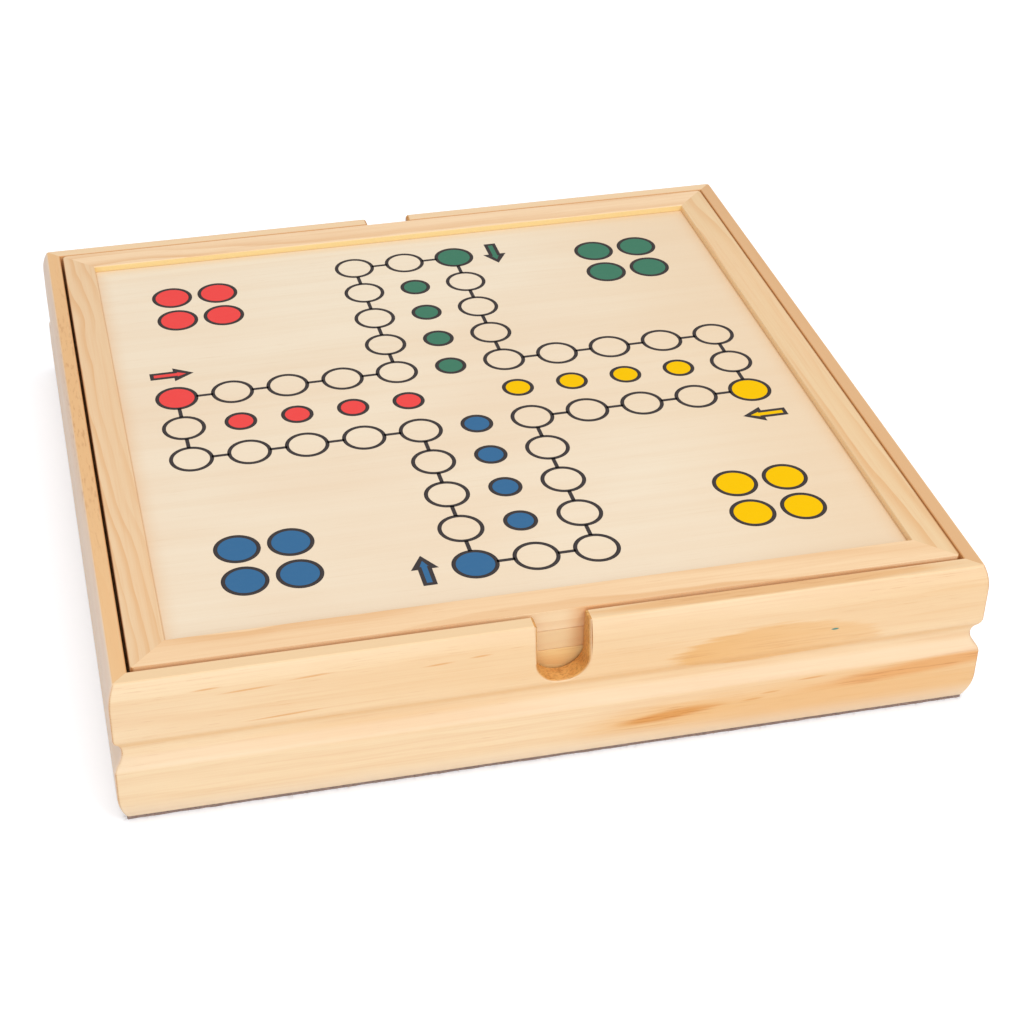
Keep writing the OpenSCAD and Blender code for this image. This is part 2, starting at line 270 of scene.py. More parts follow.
# These stand in for light that the photograph's studio bounced about
DEEP = srgb(250, 190, 116)      # in the gap round the board, from face to face
PAPER_LIT = srgb(255, 234, 218)  # on the left wall, from the paper beside it
NOTCH_LIT = srgb(255, 230, 186)  # on the rails behind the notch, from the room
NOTCH_GLOW = srgb(228, 146, 62)  # and from the notch's right cheek


def grain_space(tree, grain):
    """Millimetres along the grain, and the two directions across it."""
    place = tree.parts(tree.add("ShaderNodeTexCoord")["Object"])
    return [place[axis] / MM for axis in AXES[grain]]


def pine(name, grain, heart, ring=4.5, lean=0.01, late=0.5, ducts=0.5, seed=0.0,
         pale=PALE, stain=None, patches=(), finish=None):
    """Lacquered pine.

    grain is the axis that the fibres follow, heart the place of the trunk's middle in the
    two directions across it and ring the width of a year, in millimetres. lean is how fast
    the trunk runs out of the piece, late how dark its summer wood is and ducts how many
    resin ducts show. pale is the colour of the spring wood and stain one that the wood is
    dyed with. patches are what the patch function takes, and finish is a function that
    changes the colour last: painted light and shade, and the colours of a rim or a cut.
    """
    material, tree = new_material(name, Coat_Weight=0.15, Coat_Roughness=0.3,
                                  Specular_IOR_Level=0.35)
    along, across, up = axes = grain_space(tree, grain)
    sway = (tree.noise(along / 150 + seed, across / 45, up / 45) - 0.5) * 22
    sway = sway + (tree.noise(along / 38 + seed, across / 30, up / 30 + 3) - 0.5) * 4
    side = across + sway + along * lean - heart[0]
    height = up - heart[1]
    radius = (side * side + height * height) ** 0.5
    year = radius / ring
    age = year.turned_by("FRACT")
    band = age.between(0.3, 0.93) * (1 - age.between(0.94, 1.0))
    firmness = tree.noise(year * 0.6 + seed, along / 160, 0.5).between(0.2, 0.65)
    colour = tree.blend(band * firmness * late, pale, LATE)

    cloud = tree.noise(along / 110 + seed * 3, across / 16, up / 16 + 20, 3.0)
    colour = tree.blend(cloud.between(0.45, 0.8) * 0.5, colour, PEACH)

    streak = tree.noise(along / 60 + seed, across / 1.3, up / 1.3, 4.0, 0.6)
    colour = tree.blend(streak.between(0.45, 0.75) * 0.22, colour, LATE)
    fibre = tree.noise(along / 26 + seed, across * 2.1, up * 2.1, 4.0, 0.65)
    colour = tree.blend(fibre.between(0.4, 0.8) * 0.15, colour, LATE)

    duct = tree.noise(along / 11 + seed, across * 2.8, up * 2.8 + 50, 1.0)
    where = tree.noise(along / 40 + seed, across / 9, up / 9 + 80)
    duct = duct.between(0.64, 0.76) * where.between(0.47, 0.62)
    colour = tree.blend(duct * ducts, colour, DUCT)
    for details in patches:
        colour = patch(tree, colour, axes, **details)

    pore = tree.noise(along / 3, across * 2.2, up * 2.2, 3.0, 0.7)
    cut_across = abs(tree.towards(grain)).between(0.2, 0.8)
    colour = tree.blend(cut_across * 0.85, colour, END_GRAIN)
    colour = tree.blend(cut_across * pore.between(0.45, 0.75) * 0.6, colour, PORE)
    if finish:
        colour = finish(tree, colour, axes)
    if stain:
        colour = tree.blend(1.0, colour, stain, "MULTIPLY")
    drive(tree, Base_Color=colour, Roughness=0.4 + fibre * 0.12,
          Normal=bump(tree, fibre, 0.06, 0.5))
    return material


def patch(tree, colour, axes, place, sizes, slope=0.0, soft=0.2, glow=1.0, lines=0.5,
          length=24, fade=0.0, tint=RESIN, dark=DARK_RESIN):
    """A resin-rich patch drawn out along the grain, with fine dark lines in it.

    place and sizes hold its middle and its half sizes in millimetres, along the grain and
    in the two directions across it. soft is how gently it ends, length how long its lines
    are, and fade how much weaker it is at its far end than at its near one.
    """
    along, across, up = axes
    run = (along - place[0]) / sizes[0]
    aside = (across - place[1]) / sizes[1]
    above = (up - place[2] - (along - place[0]) * slope) / sizes[2]
    fray = tree.noise(along / 16, across * 0.9, up * 0.9, 3.0, 0.6) - 0.5
    drift = tree.noise(along / 30, across / 8, up / 8) - 0.5
    reach = (run * run + aside * aside + above * above) ** 0.5 + fray * 0.35 + drift * 0.3
    inside = (1 - reach.between(1 - soft, 1 + soft)) * (1 - fade * (run * 0.5 + 0.5))
    line = tree.noise(along / length, across * 1.1, up * 1.1 + 11, 3.0, 0.6)
    colour = tree.blend(inside * glow, colour, tint)
    return tree.blend(inside * line.between(0.5, 0.72) * lines, colour, dark)


# %% Felt, veneer, ink and paint
VENEER, VENEER_BAND = srgb(246, 229, 203), srgb(238, 213, 180)
VENEER_CLOUD, VENEER_PORE = srgb(240, 213, 181), srgb(226, 196, 158)
VENEER_WARM = srgb(238, 206, 166)         # towards the right, where it has darkened
# painted shade towards a frame's rails, and a painted shadow line at their edge
EDGE_SHADE, EDGE_SHADOW = srgb(226, 190, 146), srgb(208, 158, 96)
GLUE_LINE, PLY_T = srgb(196, 150, 100), 1.1
DUSTY_FELT = srgb(136, 114, 108)


def veneer(name, grain="X", seed=0.0, opening=None):
    """Pale peeled veneer on plywood, with fine pores and faint clouds, lacquered matt.

    opening is half the width of what a frame leaves open of it, in millimetres: painted
    shade darkens the veneer towards it, and a thin brown painted shadow line runs along it.
    """
    material, tree = new_material(name, Coat_Weight=0.2, Coat_Roughness=0.3)
    along, across, up = grain_space(tree, grain)
    sway = (tree.noise(along / 130 + seed, across / 40, 0.5) - 0.5) * 10
    bands = tree.noise(along / 400, (across + sway) / 5 + seed, 0.5, 3.0, 0.6)
    colour = tree.blend(bands.between(0.35, 0.75) * 0.4, VENEER, VENEER_BAND)
    cloud = tree.noise(along / 120 + seed, across / 60, 0.5)
    colour = tree.blend(cloud.between(0.4, 0.75) * 0.6, colour, VENEER_CLOUD)
    fibre = tree.noise(along / 16 + seed, (across + sway * 0.2) * 1.6, 0.5, 3.0, 0.6)
    colour = tree.blend(fibre.between(0.55, 0.85) * 0.35, colour, VENEER_PORE)
    colour = tree.blend(along.between(30, 130) * 0.6, colour, VENEER_WARM)
    if opening:
        # Painted shade near the rails, and a thin painted shadow line where the panel meets them
        edge = abs(across).at_least(abs(along - BOARD_SLIDE / MM))
        colour = tree.blend(edge.between(opening - 7, opening) * 0.3, colour, EDGE_SHADE)
        line = edge.between(opening - 0.8, opening - 0.3)
        colour = tree.blend(line * 0.6, colour, EDGE_SHADOW)
    ply = up / PLY_T
    glue = ply.math("PINGPONG", ply, 1.0).between(0.4, 0.6)
    cut_edge = abs(tree.towards("Z")) < 0.5
    colour = tree.blend(cut_edge * glue * 0.5, colour, GLUE_LINE)
    drive(tree, Base_Color=colour, Roughness=0.5 + fibre * 0.1,
          Normal=bump(tree, fibre, 0.03, 0.4))
    return material


def ink(name, colour, worn):
    """Screen-printed ink: flat, a little uneven, with the veneer's pores in it."""
    material, tree = new_material(name, Specular_IOR_Level=0.04)
    along, across, _ = grain_space(tree, "X")
    mottle = tree.noise(along / 3, across / 1.5, 0.5, 3.0, 0.7)
    drive(tree, Base_Color=tree.blend(mottle.between(0.4, 0.8) * 0.3, colour, worn),
          Roughness=0.5 + mottle * 0.15)
    return material


def felt(name, dark, light):
    """Needled felt: a grey-mauve mat of short fibres."""
    material, tree = new_material(name, Roughness=0.95, Sheen_Weight=0.1)
    along, across, up = grain_space(tree, "X")
    matting = tree.noise(along * 1.6, across * 1.6, up * 1.6, 4.0, 0.7)
    clouds = tree.noise(along / 6, across / 6, up / 6)
    colour = tree.blend(matting.between(0.3, 0.75), dark, light)
    drive(tree, Base_Color=tree.blend(clouds * 0.3, colour, DUSTY_FELT),
          Normal=bump(tree, matting, 0.4, 0.8))
    return material


def paint(name, colour, thin):
    """Brushed gloss paint on turned wood, thinner and lighter in streaks up the piece."""
    material, tree = new_material(name, Coat_Weight=0.6, Coat_Roughness=0.12)
    up, across, away = grain_space(tree, "Z")
    streak = tree.noise(up / 9, across * 1.4, away * 1.4, 3.0, 0.6)
    drive(tree, Base_Color=tree.blend(streak.between(0.5, 0.8) * 0.5, colour, thin),
          Roughness=0.32 + streak * 0.12, Normal=bump(tree, streak, 0.05, 0.4))
    return material


print("finishes ready: pine, veneer, ink, felt and paint")

# %% [markdown]
# ## The moulding
#
# All four walls are cut from one moulding. Its section is a chain of arcs: a foot that
# rolls in, a flat lower band, a shoulder, the cove, a second shoulder, a flat upper band
# and a long round that leans in to the rim. Written as arcs that touch each other, the
# section needs a dozen numbers, and stays smooth however finely it is cut.

# %% Sizes read from the frame
front_low, front_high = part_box("front_wall")
back_low, back_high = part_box("back_wall")
FOOT_Z = front_low.z
RIM_Z = front_high.z
WALL_H = (RIM_Z - FOOT_Z) / MM
INNER_HALF = back_low.y
WALL_T = (back_high.y - back_low.y) / MM
print("walls", round(WALL_H, 2), "mm high and", round(WALL_T, 2), "mm thick")

# %% Arcs that touch
FINE = 4  # degrees between the points of an arc


def arc(centre, radius, start, end, step=FINE):
    count = max(2, math.ceil(abs(end - start) / step))
    angles = [math.radians(start + (end - start) * i / count) for i in range(count + 1)]
    return [(centre[0] + radius * math.cos(a), centre[1] + radius * math.sin(a))
            for a in angles]


def bearing(start, end):
    return math.degrees(math.atan2(end[1] - start[1], end[0] - start[0]))


def wall_outer_face():
    """The moulded face from foot to rim: (depth from the inner face, height), in mm."""
    set_back = 0.3                   # of the upper band behind the lower one
    upper_t = WALL_T - set_back
    cove_r, cove_depth, cove_drop = 6.7, 2.6, 29.0
    upper_r, lower_r = 5.0, 4.0
    foot_r, foot_h = 25.0, 10.5
    top_r, top_h = 21.6, 9.5
    arris_r = 0.9                    # easing of the rim's outer arris
    cove = (upper_t - cove_depth + cove_r, WALL_H - cove_drop)

    def beside_cove(band, radius):
        return math.sqrt((cove_r + radius) ** 2 - (cove[0] - band + radius) ** 2)

    upper = (upper_t - upper_r, cove[1] + beside_cove(upper_t, upper_r))
    lower = (WALL_T - lower_r, cove[1] - beside_cove(WALL_T, lower_r))
    foot_lean = math.degrees(math.asin(foot_h / foot_r))
    top_c = (upper_t - top_r, WALL_H - top_h)
    arris_lean = math.degrees(math.asin((top_h - arris_r) / (top_r - arris_r)))
    arris_c = (top_c[0] + (top_r - arris_r) * math.cos(math.radians(arris_lean)),
               WALL_H - arris_r)
    return (arc((WALL_T - foot_r, foot_h), foot_r, -foot_lean, 0)
            + arc(lower, lower_r, 0, bearing(lower, cove))
            + arc(cove, cove_r, 360 + bearing(cove, lower), bearing(cove, upper))
            + arc(upper, upper_r, bearing(upper, cove), 0)
            + arc(top_c, top_r, 0, arris_lean)
            + arc(arris_c, arris_r, arris_lean, 90)[1:])


OUTER_FACE = wall_outer_face()
REBATE, BOTTOM_T, RIM_EASE = 3.0, 4.0, 0.5
WALL_SECTION = ([(REBATE, 0)] + OUTER_FACE
                + arc((RIM_EASE, WALL_H - RIM_EASE), RIM_EASE, 90, 180)
                + [(0, BOTTOM_T), (REBATE, BOTTOM_T)])
print("wall section:", len(WALL_SECTION), "points")


def face_depth(height):
    """Depth of the moulded face above the inner face, at a height above the foot."""
    for (d0, h0), (d1, h1) in zip(OUTER_FACE, OUTER_FACE[1:]):
        if h0 <= height <= h1 and h1 > h0:
            return d0 + (d1 - d0) * (height - h0) / (h1 - h0)
    return OUTER_FACE[-1][0]


# %% [markdown]
# ## Sweeping and mitring with Geometry Nodes
#
# Walls and frame rails are the same job: sweep a section along a straight line, mitre the
# ends, round the outer corner, and turn the piece to its side of the square. The mitre
# needs no cutting. If each point is pushed outwards along the piece by its own depth,
# the ends become planes at 45 degrees. A few extra rings near each end, drawn in along a
# quarter circle, round the corner where two pieces meet, as sanding does.

# %% The tree for a mitred moulding
CORNER_RINGS = 5


def geometry_tree(name, **inputs):
    """An empty Geometry Nodes tree with a geometry in and out, and inputs listed by kind."""
    group = bpy.data.node_groups.new(name, "GeometryNodeTree")
    sockets = [("Geometry", "Geometry", "INPUT"), ("Geometry", "Geometry", "OUTPUT")]
    sockets[1:1] = [(label, kind, "INPUT") for kind, labels in inputs.items()
                    for label in labels]
    for label, kind, way in sockets:
        group.interface.new_socket(name=label, in_out=way, socket_type="NodeSocket" + kind)
    tree = Tree(group)
    return tree, tree.add("NodeGroupInput")


def made_real(tree, geometry, material):
    """Instances made real, and the material set."""
    real = tree.geo("RealizeInstances", "Geometry", Geometry=geometry)
    return tree.geo("SetMaterial", "Geometry", Geometry=real, Material=material)


def finish_tree(tree, geometry, material):
    """Ends a tree: instances made real, the material set, and out."""
    tree.add("NodeGroupOutput", {}, {"Geometry": made_real(tree, geometry, material)})
    return tree.group


def welded(tree, geometry, distance=WELD):
    return tree.geo("MergeByDistance", "Geometry", Geometry=geometry, Distance=distance)


def join(tree, *parts):
    whole = tree.add("GeometryNodeJoinGeometry")
    for part in reversed(parts):
        tree.link(part, whole.node.inputs[0])
    return whole["Geometry"]


def on_points(tree, points, instance, **more):
    return tree.geo("InstanceOnPoints", "Instances", Points=points, Instance=instance, **more)


def chosen(tree, points, which):
    return tree.geo("SeparateGeometry", "Selection", {"domain": "POINT"}, Geometry=points,
                    Selection=which)


def moved(tree, geometry, **how):
    return tree.geo("Transform", "Geometry", Geometry=geometry, **how)


def swept(tree, path, section, **caps):
    return tree.geo("CurveToMesh", "Mesh", Curve=path, Profile_Curve=section, **caps)


def as_curve(tree, mesh):
    return tree.geo("MeshToCurve", "Curve", Mesh=mesh)


def moulding_tree():
    tree, given = geometry_tree("Mitred moulding", Float=(
        "Length", "Corner Round", "Round From", "Set Out", "Lift", "Turn", "Slide"),
        Object=("Cutter",), Material=("Material",))
    half = given["Length"] / 2
    corner = given["Corner Round"]

    # Rings of the sweep: some at each end, closer together towards the corner
    from_middle = tree.geo("InputIndex", "Index") - (CORNER_RINGS + 0.5)
    end = from_middle.turned_by("SIGN")
    step = (abs(from_middle) - 0.5) / CORNER_RINGS
    angle = step * math.radians(45)
    reach = half - corner + corner * angle.turned_by("SINE")
    line = tree.geo("MeshLine", "Mesh", Count=2 * CORNER_RINGS + 2)
    line = tree.geo("SetPosition", "Geometry", Geometry=line,
                    Position=tree.vector(end * reach, 0.0, 0.0))
    straight = swept(tree, as_curve(tree, line), as_curve(tree, given["Geometry"]),
                     Fill_Caps=True)

    # The mitre, and the rounding of the outer points
    place = tree.parts(tree.geo("InputPosition", "Position"))
    depth = 0 - place["Y"]
    outer = depth > given["Round From"]
    inset = half - abs(place["X"])
    run = (corner - inset).at_least(0.0)
    drawn_in = corner - (corner * corner - run * run).at_least(0.0) ** 0.5
    x = place["X"].turned_by("SIGN") * (half - inset * outer + depth)
    y = depth - drawn_in * outer
    mitred = tree.geo("SetPosition", "Geometry", Geometry=straight,
                      Position=tree.vector(x, y, 0 - place["Z"]))

    cutter = tree.geo("ObjectInfo", "Geometry", Object=given["Cutter"])
    cut = tree.geo("MeshBoolean", "Mesh", {"operation": "DIFFERENCE", "solver": "EXACT"},
                   Mesh_1=welded(tree, mitred), Mesh_2=cutter)
    set_out = moved(tree, cut, Translation=tree.vector(0.0, given["Set Out"], given["Lift"]))
    turned = moved(tree, set_out, Rotation=tree.vector(0.0, 0.0, given["Turn"]),
                   Translation=tree.vector(given["Slide"], 0.0, 0.0))
    return finish_tree(tree, turned, given["Material"])


MOULDING = moulding_tree()

# %% Turning a tree's result into a plain piece
SHARP = math.radians(32)
LARGE_FACES_FIRST = 80                    # how much more a large face's direction counts


def outline_mesh(name, points, scale=MM):
    """A closed outline as a mesh of edges, from points in millimetres."""
    mesh = bpy.data.meshes.new(name)
    edges = [(i, (i + 1) % len(points)) for i in range(len(points))]
    mesh.from_pydata([(x * scale, y * scale, 0) for x, y in points], edges, [])
    return mesh


def grown(name, tree, mesh, **inputs):
    """Runs a Geometry Nodes tree on a mesh and keeps the result as a plain mesh object."""
    maker = as_object(name + "_maker", mesh)
    modifier = maker.modifiers.new("nodes", "NODES")
    modifier.node_group = tree
    for item in tree.interface.items_tree:
        key = item.name.replace(" ", "_")
        if item.in_out == "INPUT" and key in inputs:
            modifier[item.identifier] = inputs[key]
    depsgraph = bpy.context.evaluated_depsgraph_get()
    result = bpy.data.meshes.new_from_object(maker.evaluated_get(depsgraph),
                                             depsgraph=depsgraph)
    result.name = name
    bpy.data.objects.remove(maker)
    return as_object(name, result)


def smooth(piece):
    """Smooth shading with crisp arrises, where large faces keep their own direction."""
    piece.data.shade_smooth()
    piece.data.set_sharp_from_angle(angle=SHARP)
    weighted = piece.modifiers.new("weighted normals", "WEIGHTED_NORMAL")
    weighted.keep_sharp = True
    weighted.weight = LARGE_FACES_FIRST
    return piece


def place_on(body, piece, slot, *nodes):
    """Says what a finished piece rides on and what it stands for. slot, what finish it has, is
    not used.
    """
    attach(piece, body)
    if nodes:
        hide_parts(*nodes)
    return piece


# %% Shapes built point by point
def settle(shape, mesh):
    """Turns the faces of a closed shape outwards and writes it to a mesh."""
    bmesh.ops.recalc_face_normals(shape, faces=shape.faces)
    shape.to_mesh(mesh)
    shape.free()
    return mesh


def loft(name, rings):
    """A closed skin over rings of points, in metres, with a face across each end."""
    shape = bmesh.new()
    loops = [[shape.verts.new(point) for point in ring] for ring in rings]
    for before, after in zip(loops, loops[1:]):
        for i in range(len(before)):
            j = (i + 1) % len(before)
            shape.faces.new((before[i], before[j], after[j], after[i]))
    shape.faces.new(loops[0])
    shape.faces.new(loops[-1])
    return settle(shape, bpy.data.meshes.new(name))


# %% [markdown]
# ## The finger notches
#
# Each notch is a U cut through the wall with a round-nosed cutter, and its edges are then
# rounded over. A boolean with a plain U would leave a razor edge, and bevelling after the
# cut fails where the notch runs into the curved shoulder. So the cutter itself is flared:
# it is a loft of U outlines, wider by the quarter circle of the rounding near each face,
# and it follows the moulded face at every height.

# %% The flared cutter
NOTCH_HALF, NOTCH_DEPTH = 8.75, 22.8
NOTCH_OUTER_EASE, NOTCH_INNER_EASE = 1.2, 0.6
SHARPEST_LIP, LIP_STEP = 0.15, 16         # millimetres, and degrees between its points
BEYOND = 3.0                              # how far the cutter runs past the wood


def notch_outline(flare, lips):
    """The U at one depth: widened by flare, with lips of two radii where it meets the rim."""
    half = NOTCH_HALF + flare
    bottom = WALL_H - NOTCH_DEPTH + NOTCH_HALF
    left, right = [max(lip - flare, SHARPEST_LIP) for lip in lips]
    return ([(-half - left, WALL_H + BEYOND)]
            + arc((-half - left, WALL_H - left), left, 90, 10, LIP_STEP)
            + arc((0, bottom), half, 180, 360)
            + arc((half + right, WALL_H - right), right, 180, 100, LIP_STEP)
            + [(half + right, WALL_H + BEYOND)])


def eased_insets(ease):
    """How far the notch flares at each inset from a face, from the face inwards."""
    angles = [math.radians(angle) for angle in range(8, 91, 9)]
    insets = [(ease * (1 - math.sin(a)), ease * (1 - math.cos(a))) for a in angles]
    return [(insets[0][0], -BEYOND)] + insets


def notch_cutter(name, lips):
    """The cutter as a closed loft, in metres, in the place of a wall before it is turned."""
    rings = []
    for flare, inset in eased_insets(NOTCH_INNER_EASE):
        rings.append([(x * MM, inset * MM, height * MM)
                      for x, height in notch_outline(flare, lips)])
    for flare, inset in reversed(eased_insets(NOTCH_OUTER_EASE)):
        rings.append([(x * MM, (face_depth(height) - inset) * MM, height * MM)
                      for x, height in notch_outline(flare, lips)])
    return as_object(name, loft(name, rings))


# %% What the front wall shows
FACE = -(INNER_HALF / MM + WALL_T)        # where the front wall's face is, in millimetres
RIM = RIM_Z / MM
BAND = (RIM - 26, RIM - 20)               # where the lower band gives way to the upper
FOOT = (RIM - 45, RIM - 40)               # and the foot to the lower band
GAP_DEPTH = 18                            # of the gap round the boards
NEAR = 0.3                                # what lies this close to a face belongs to it


def on_front(along, up, *sizes, **look):
    """A patch on the front wall's face, in millimetres from the wall's middle."""
    return dict(place=(along, FACE, up), sizes=sizes, **look)


# Broad warm clouds: place and height, half length and half height, and how warm
front_patches = [on_front(along, up, half, 6, high, soft=0.8, glow=glow, lines=0)
                 for along, up, half, high, glow in (
                     (-20, 45, 80, 12, 0.3), (45, 36, 50, 8, 0.25),
                     (135, 48, 45, 12, 0.3), (-58, 27, 45, 3.5, 0.35))]
front_patches += [
    on_front(105, 11, 75, 4, 11, soft=0.6, glow=0.7, lines=0.1),
    # the dome above the shoulder, which cuts it off below
    on_front(75, 36, 36, 3, 10.5, soft=0.1, fade=0.6, lines=0.35),
    # streaks along the foot, the last one the darkest
    on_front(133, 20.3, 38, 4, 2.8, slope=0.08, soft=0.5, glow=0.9, lines=0.8,
             tint=srgb(236, 172, 104)),
    on_front(36, 14, 24, 4, 4, slope=0.06, soft=0.7, glow=0.6),
    on_front(37, 14.2, 16, 4, 1.7, slope=0.09, soft=0.5, lines=1.0,
             tint=srgb(228, 160, 84), dark=srgb(196, 112, 40)),
    # a green speck
    on_front(95, 41.7, 1.3, 2, 0.38, lines=0, tint=srgb(84, 142, 128))]
# Short resin ducts: place along the wall, height and half length
for along, up, half in ((-118, 52.8, 4), (-105, 50.6, 8), (-84, 52.3, 6), (-93, 38, 10),
                        (-78, 33.8, 6), (-42, 50, 4), (-28, 51, 3), (-21, 29.5, 4),
                        (52, 15.4, 5), (68, 16, 3), (74, 18, 3), (89, 21.8, 4)):
    front_patches.append(on_front(along, up, half, 2, 0.3, slope=0.04, soft=0.7, glow=0.7,
                                  lines=0.3, tint=srgb(228, 160, 88)))
RIM_PATCHES = {
    "front": [dict(place=(70, FACE + 5.5, RIM), sizes=(66, 2.4, 2), soft=0.3, glow=0.7,
                   lines=0.4, length=16, tint=srgb(230, 174, 112), dark=srgb(196, 128, 68))],
    "left": [dict(place=(20, FACE + 5, RIM), sizes=(90, 5, 4), soft=0.6, glow=0.3,
                  lines=0.4, length=5, tint=srgb(230, 178, 118), dark=srgb(180, 112, 60))]}


def wall_light_and_finish(crown, rim_patches=(), paper_glare=0.0):
    """Painted light and shade on a wall, with its flat rim's own colour and figure.

    crown is the colour of its flat rim and rim_patches what shows there. The last argument is
    painted light: how far the white paper beside it pales the left wall's moulded face.
    """
    def finish(tree, colour, axes):
        _, across, up = axes
        tilt = tree.towards("Z")
        low = 1 - up.between(*BAND)
        above_foot = up.between(*FOOT)
        # Painted light: a pale highlight on the shoulders that look up, stronger on the lower
        # band, and the foot that looks down paled by light from the floor
        shoulder = tilt.between(0.1, 0.45) * (low * 0.25 + 0.15)
        foot = (0 - tilt).between(0.05, 0.4) * (1 - above_foot)
        colour = tree.blend(shoulder + foot * 0.6, colour, PAINTED_LIGHT)
        # Painted shade: faces that look down, above the foot, darkened towards the colour of
        # resin
        under = (0 - tilt).between(0.1, 0.6) * above_foot
        colour = tree.blend(under * 0.4, colour, RESIN)
        # A little darker orange on the rim's outer arris
        arris = tilt.between(0.5, 0.7) * (1 - low)
        colour = tree.blend(arris * 0.2, colour, RESIN)
        # Painted reflection: the left wall's outward face paled, as by the white paper beside it
        if paper_glare:
            outward = (0 - tree.towards("X")).between(0.15, 0.75)
            colour = tree.blend(outward * paper_glare, colour, PAPER_LIT)
        colour = tree.blend(tilt.between(0.9, 0.99) * 0.75, colour, crown)
        for details in rim_patches:
            colour = patch(tree, colour, axes, **details)
        # Painted light: faces in the gap round the board warmed, as by light bounced from face to
        # face
        inside = (abs(across) < INNER_HALF / MM + NEAR) * (up > RIM - GAP_DEPTH)
        colour = tree.blend(inside * 0.6, colour, DEEP)
        # Painted shade on the rim's inner arris, beside the gap round the board
        inner = (abs(across) < INNER_HALF / MM + 0.4) * (up > RIM - 0.6)
        return tree.blend(inner * 0.4, colour, GAP_SHADE)
    return finish


def notched_finish(crown, rim_patches=()):
    """The same, with the notch's cut browned by the cutter and full of pores."""
    def finish(tree, colour, axes):
        along, across, up = axes
        colour = wall_light_and_finish(crown, rim_patches)(tree, colour, axes)
        here = (abs(along) < NOTCH_HALF + 1) * (up > RIM - NOTCH_DEPTH - 1)
        cut = here * (1 - abs(tree.towards("Y")).between(0.5, 0.9))
        burn = tree.noise(along / 5, across / 5, up / 5)
        dots = tree.noise(along * 0.8, across * 2.5, up * 0.8, 3.0, 0.7)
        colour = tree.blend(cut * 0.9, colour, BURNT)
        colour = tree.blend(cut * burn.between(0.35, 0.65) * 0.7, colour, END_GRAIN)
        return tree.blend(cut * dots.between(0.48, 0.64) * 0.6, colour, PORE)
    return finish


# %% Cut the four walls
WALL_CORNER_ROUND = 1.2
FLAT_BACK = 4.0                           # points no deeper than this keep a sharp corner
FRONT_LIPS, BACK_LIPS = (1.0, 0.5), (1.6, 1.6)
# The numbers of each pine: the trunk's middle, ring, lean, late, ducts and seed
wall_woods = {
    "back": pine("pine_back_wall", "X", (220, 40), 5.5, 0.02, 0.5, 0.4, 3.0,
                 pale=srgb(246, 212, 168), finish=notched_finish(srgb(246, 214, 172))),
    "left": pine("pine_left_wall", "Y", (-170, 90), 4.0, 0.015, 0.6, 0.9, 11.0,
                 pale=srgb(238, 200, 150),
                 finish=wall_light_and_finish(srgb(238, 190, 134), RIM_PATCHES["left"], 0.6)),
    "front": pine("pine_front_wall", "X", (-300, -160), 6.5, 0.02, 0.14, 0.35, 5.0,
                  pale=srgb(251, 222, 180), patches=front_patches,
                  finish=notched_finish(srgb(240, 206, 160), RIM_PATCHES["front"])),
    "right": pine("pine_right_wall", "Y", (190, -60), 5.0, 0.02, 0.5, 0.5, 17.0,
                  pale=srgb(238, 200, 152), finish=wall_light_and_finish(srgb(222, 172, 120)))}
for quarter, side in enumerate(SIDES):
    cutter = None
    if side in ("front", "back"):
        lips = FRONT_LIPS[::-1] if side == "front" else BACK_LIPS
        cutter = notch_cutter(side + "_cutter", lips)
    wall = grown(side + "_moulded_wall", MOULDING, outline_mesh("wall section", WALL_SECTION),
                 Length=2 * INNER_HALF, Corner_Round=WALL_CORNER_ROUND * MM,
                 Round_From=FLAT_BACK * MM, Set_Out=INNER_HALF, Lift=FOOT_Z,
                 Turn=math.radians(90 * quarter), Slide=0.0, Cutter=cutter,
                 Material=wall_woods[side])
    if cutter:
        bpy.data.objects.remove(cutter)
    place_on("box", smooth(wall), "pine_walls", side + "_wall")
    print(wall.name, len(wall.data.polygons), "faces")

# %% [markdown]
# ## The boards' frames
#
# Each board is a picture frame laid flat: four rails with eased edges, mitred at the
# corners, with a groove inside that holds a plywood panel. The rails come from the same
# tree as the walls, with another section. The upper board is the one that the photograph
# shows, so its four rails get the figure seen there: long wavy lines on the left rail, a
# warm streak at the back, paler wood at the front.

# %% Sizes of the boards
rail_low, rail_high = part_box("ludo_back_rail")
OPENING_HALF = rail_low.y
RAIL_W = (rail_high.y - rail_low.y) / MM
BOARD_T = (rail_high.z - rail_low.z) / MM
BOARD_SLIDE = (rail_low.x + rail_high.x) / 2
panel_low, panel_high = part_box("ludo_panel")
PANEL_T = (panel_high.z - panel_low.z) / MM
print("rail", round(RAIL_W, 2), "x", round(BOARD_T, 2), "mm, board lies",
      round(BOARD_SLIDE / MM, 2), "mm to the right")

# %% Rail section
EASE = 0.4
GROOVE_DEPTH = 4.0


def rail_section():
    groove = (BOARD_T - PANEL_T) / 2
    return (arc((EASE, EASE), EASE, 180, 270)
            + arc((RAIL_W - EASE, EASE), EASE, 270, 360)
            + arc((RAIL_W - EASE, BOARD_T - EASE), EASE, 0, 90)
            + arc((EASE, BOARD_T - EASE), EASE, 90, 180)
            + [(0, groove + PANEL_T), (GROOVE_DEPTH, groove + PANEL_T),
               (GROOVE_DEPTH, groove), (0, groove)])


# %% The rails of both boards
BOARD_CORNER_ROUND = 1.8
NOTCH_VIEW = (9, 36)                      # the tint is whole up to the one, gone by the other


def rail_gap_shade(tree, colour, axes):
    """Painted shade on the outer arrises of a board's frame, beside the gap round it."""
    _, across, up = axes
    outer = abs(across) > OPENING_HALF / MM + RAIL_W - 0.35
    level = ((up - rail_low.z / MM) / BOARD_T).turned_by("FRACT")
    arris = (level < 0.05) + (level > 0.97)
    return tree.blend(outer * arris * 0.45, colour, GAP_SHADE)


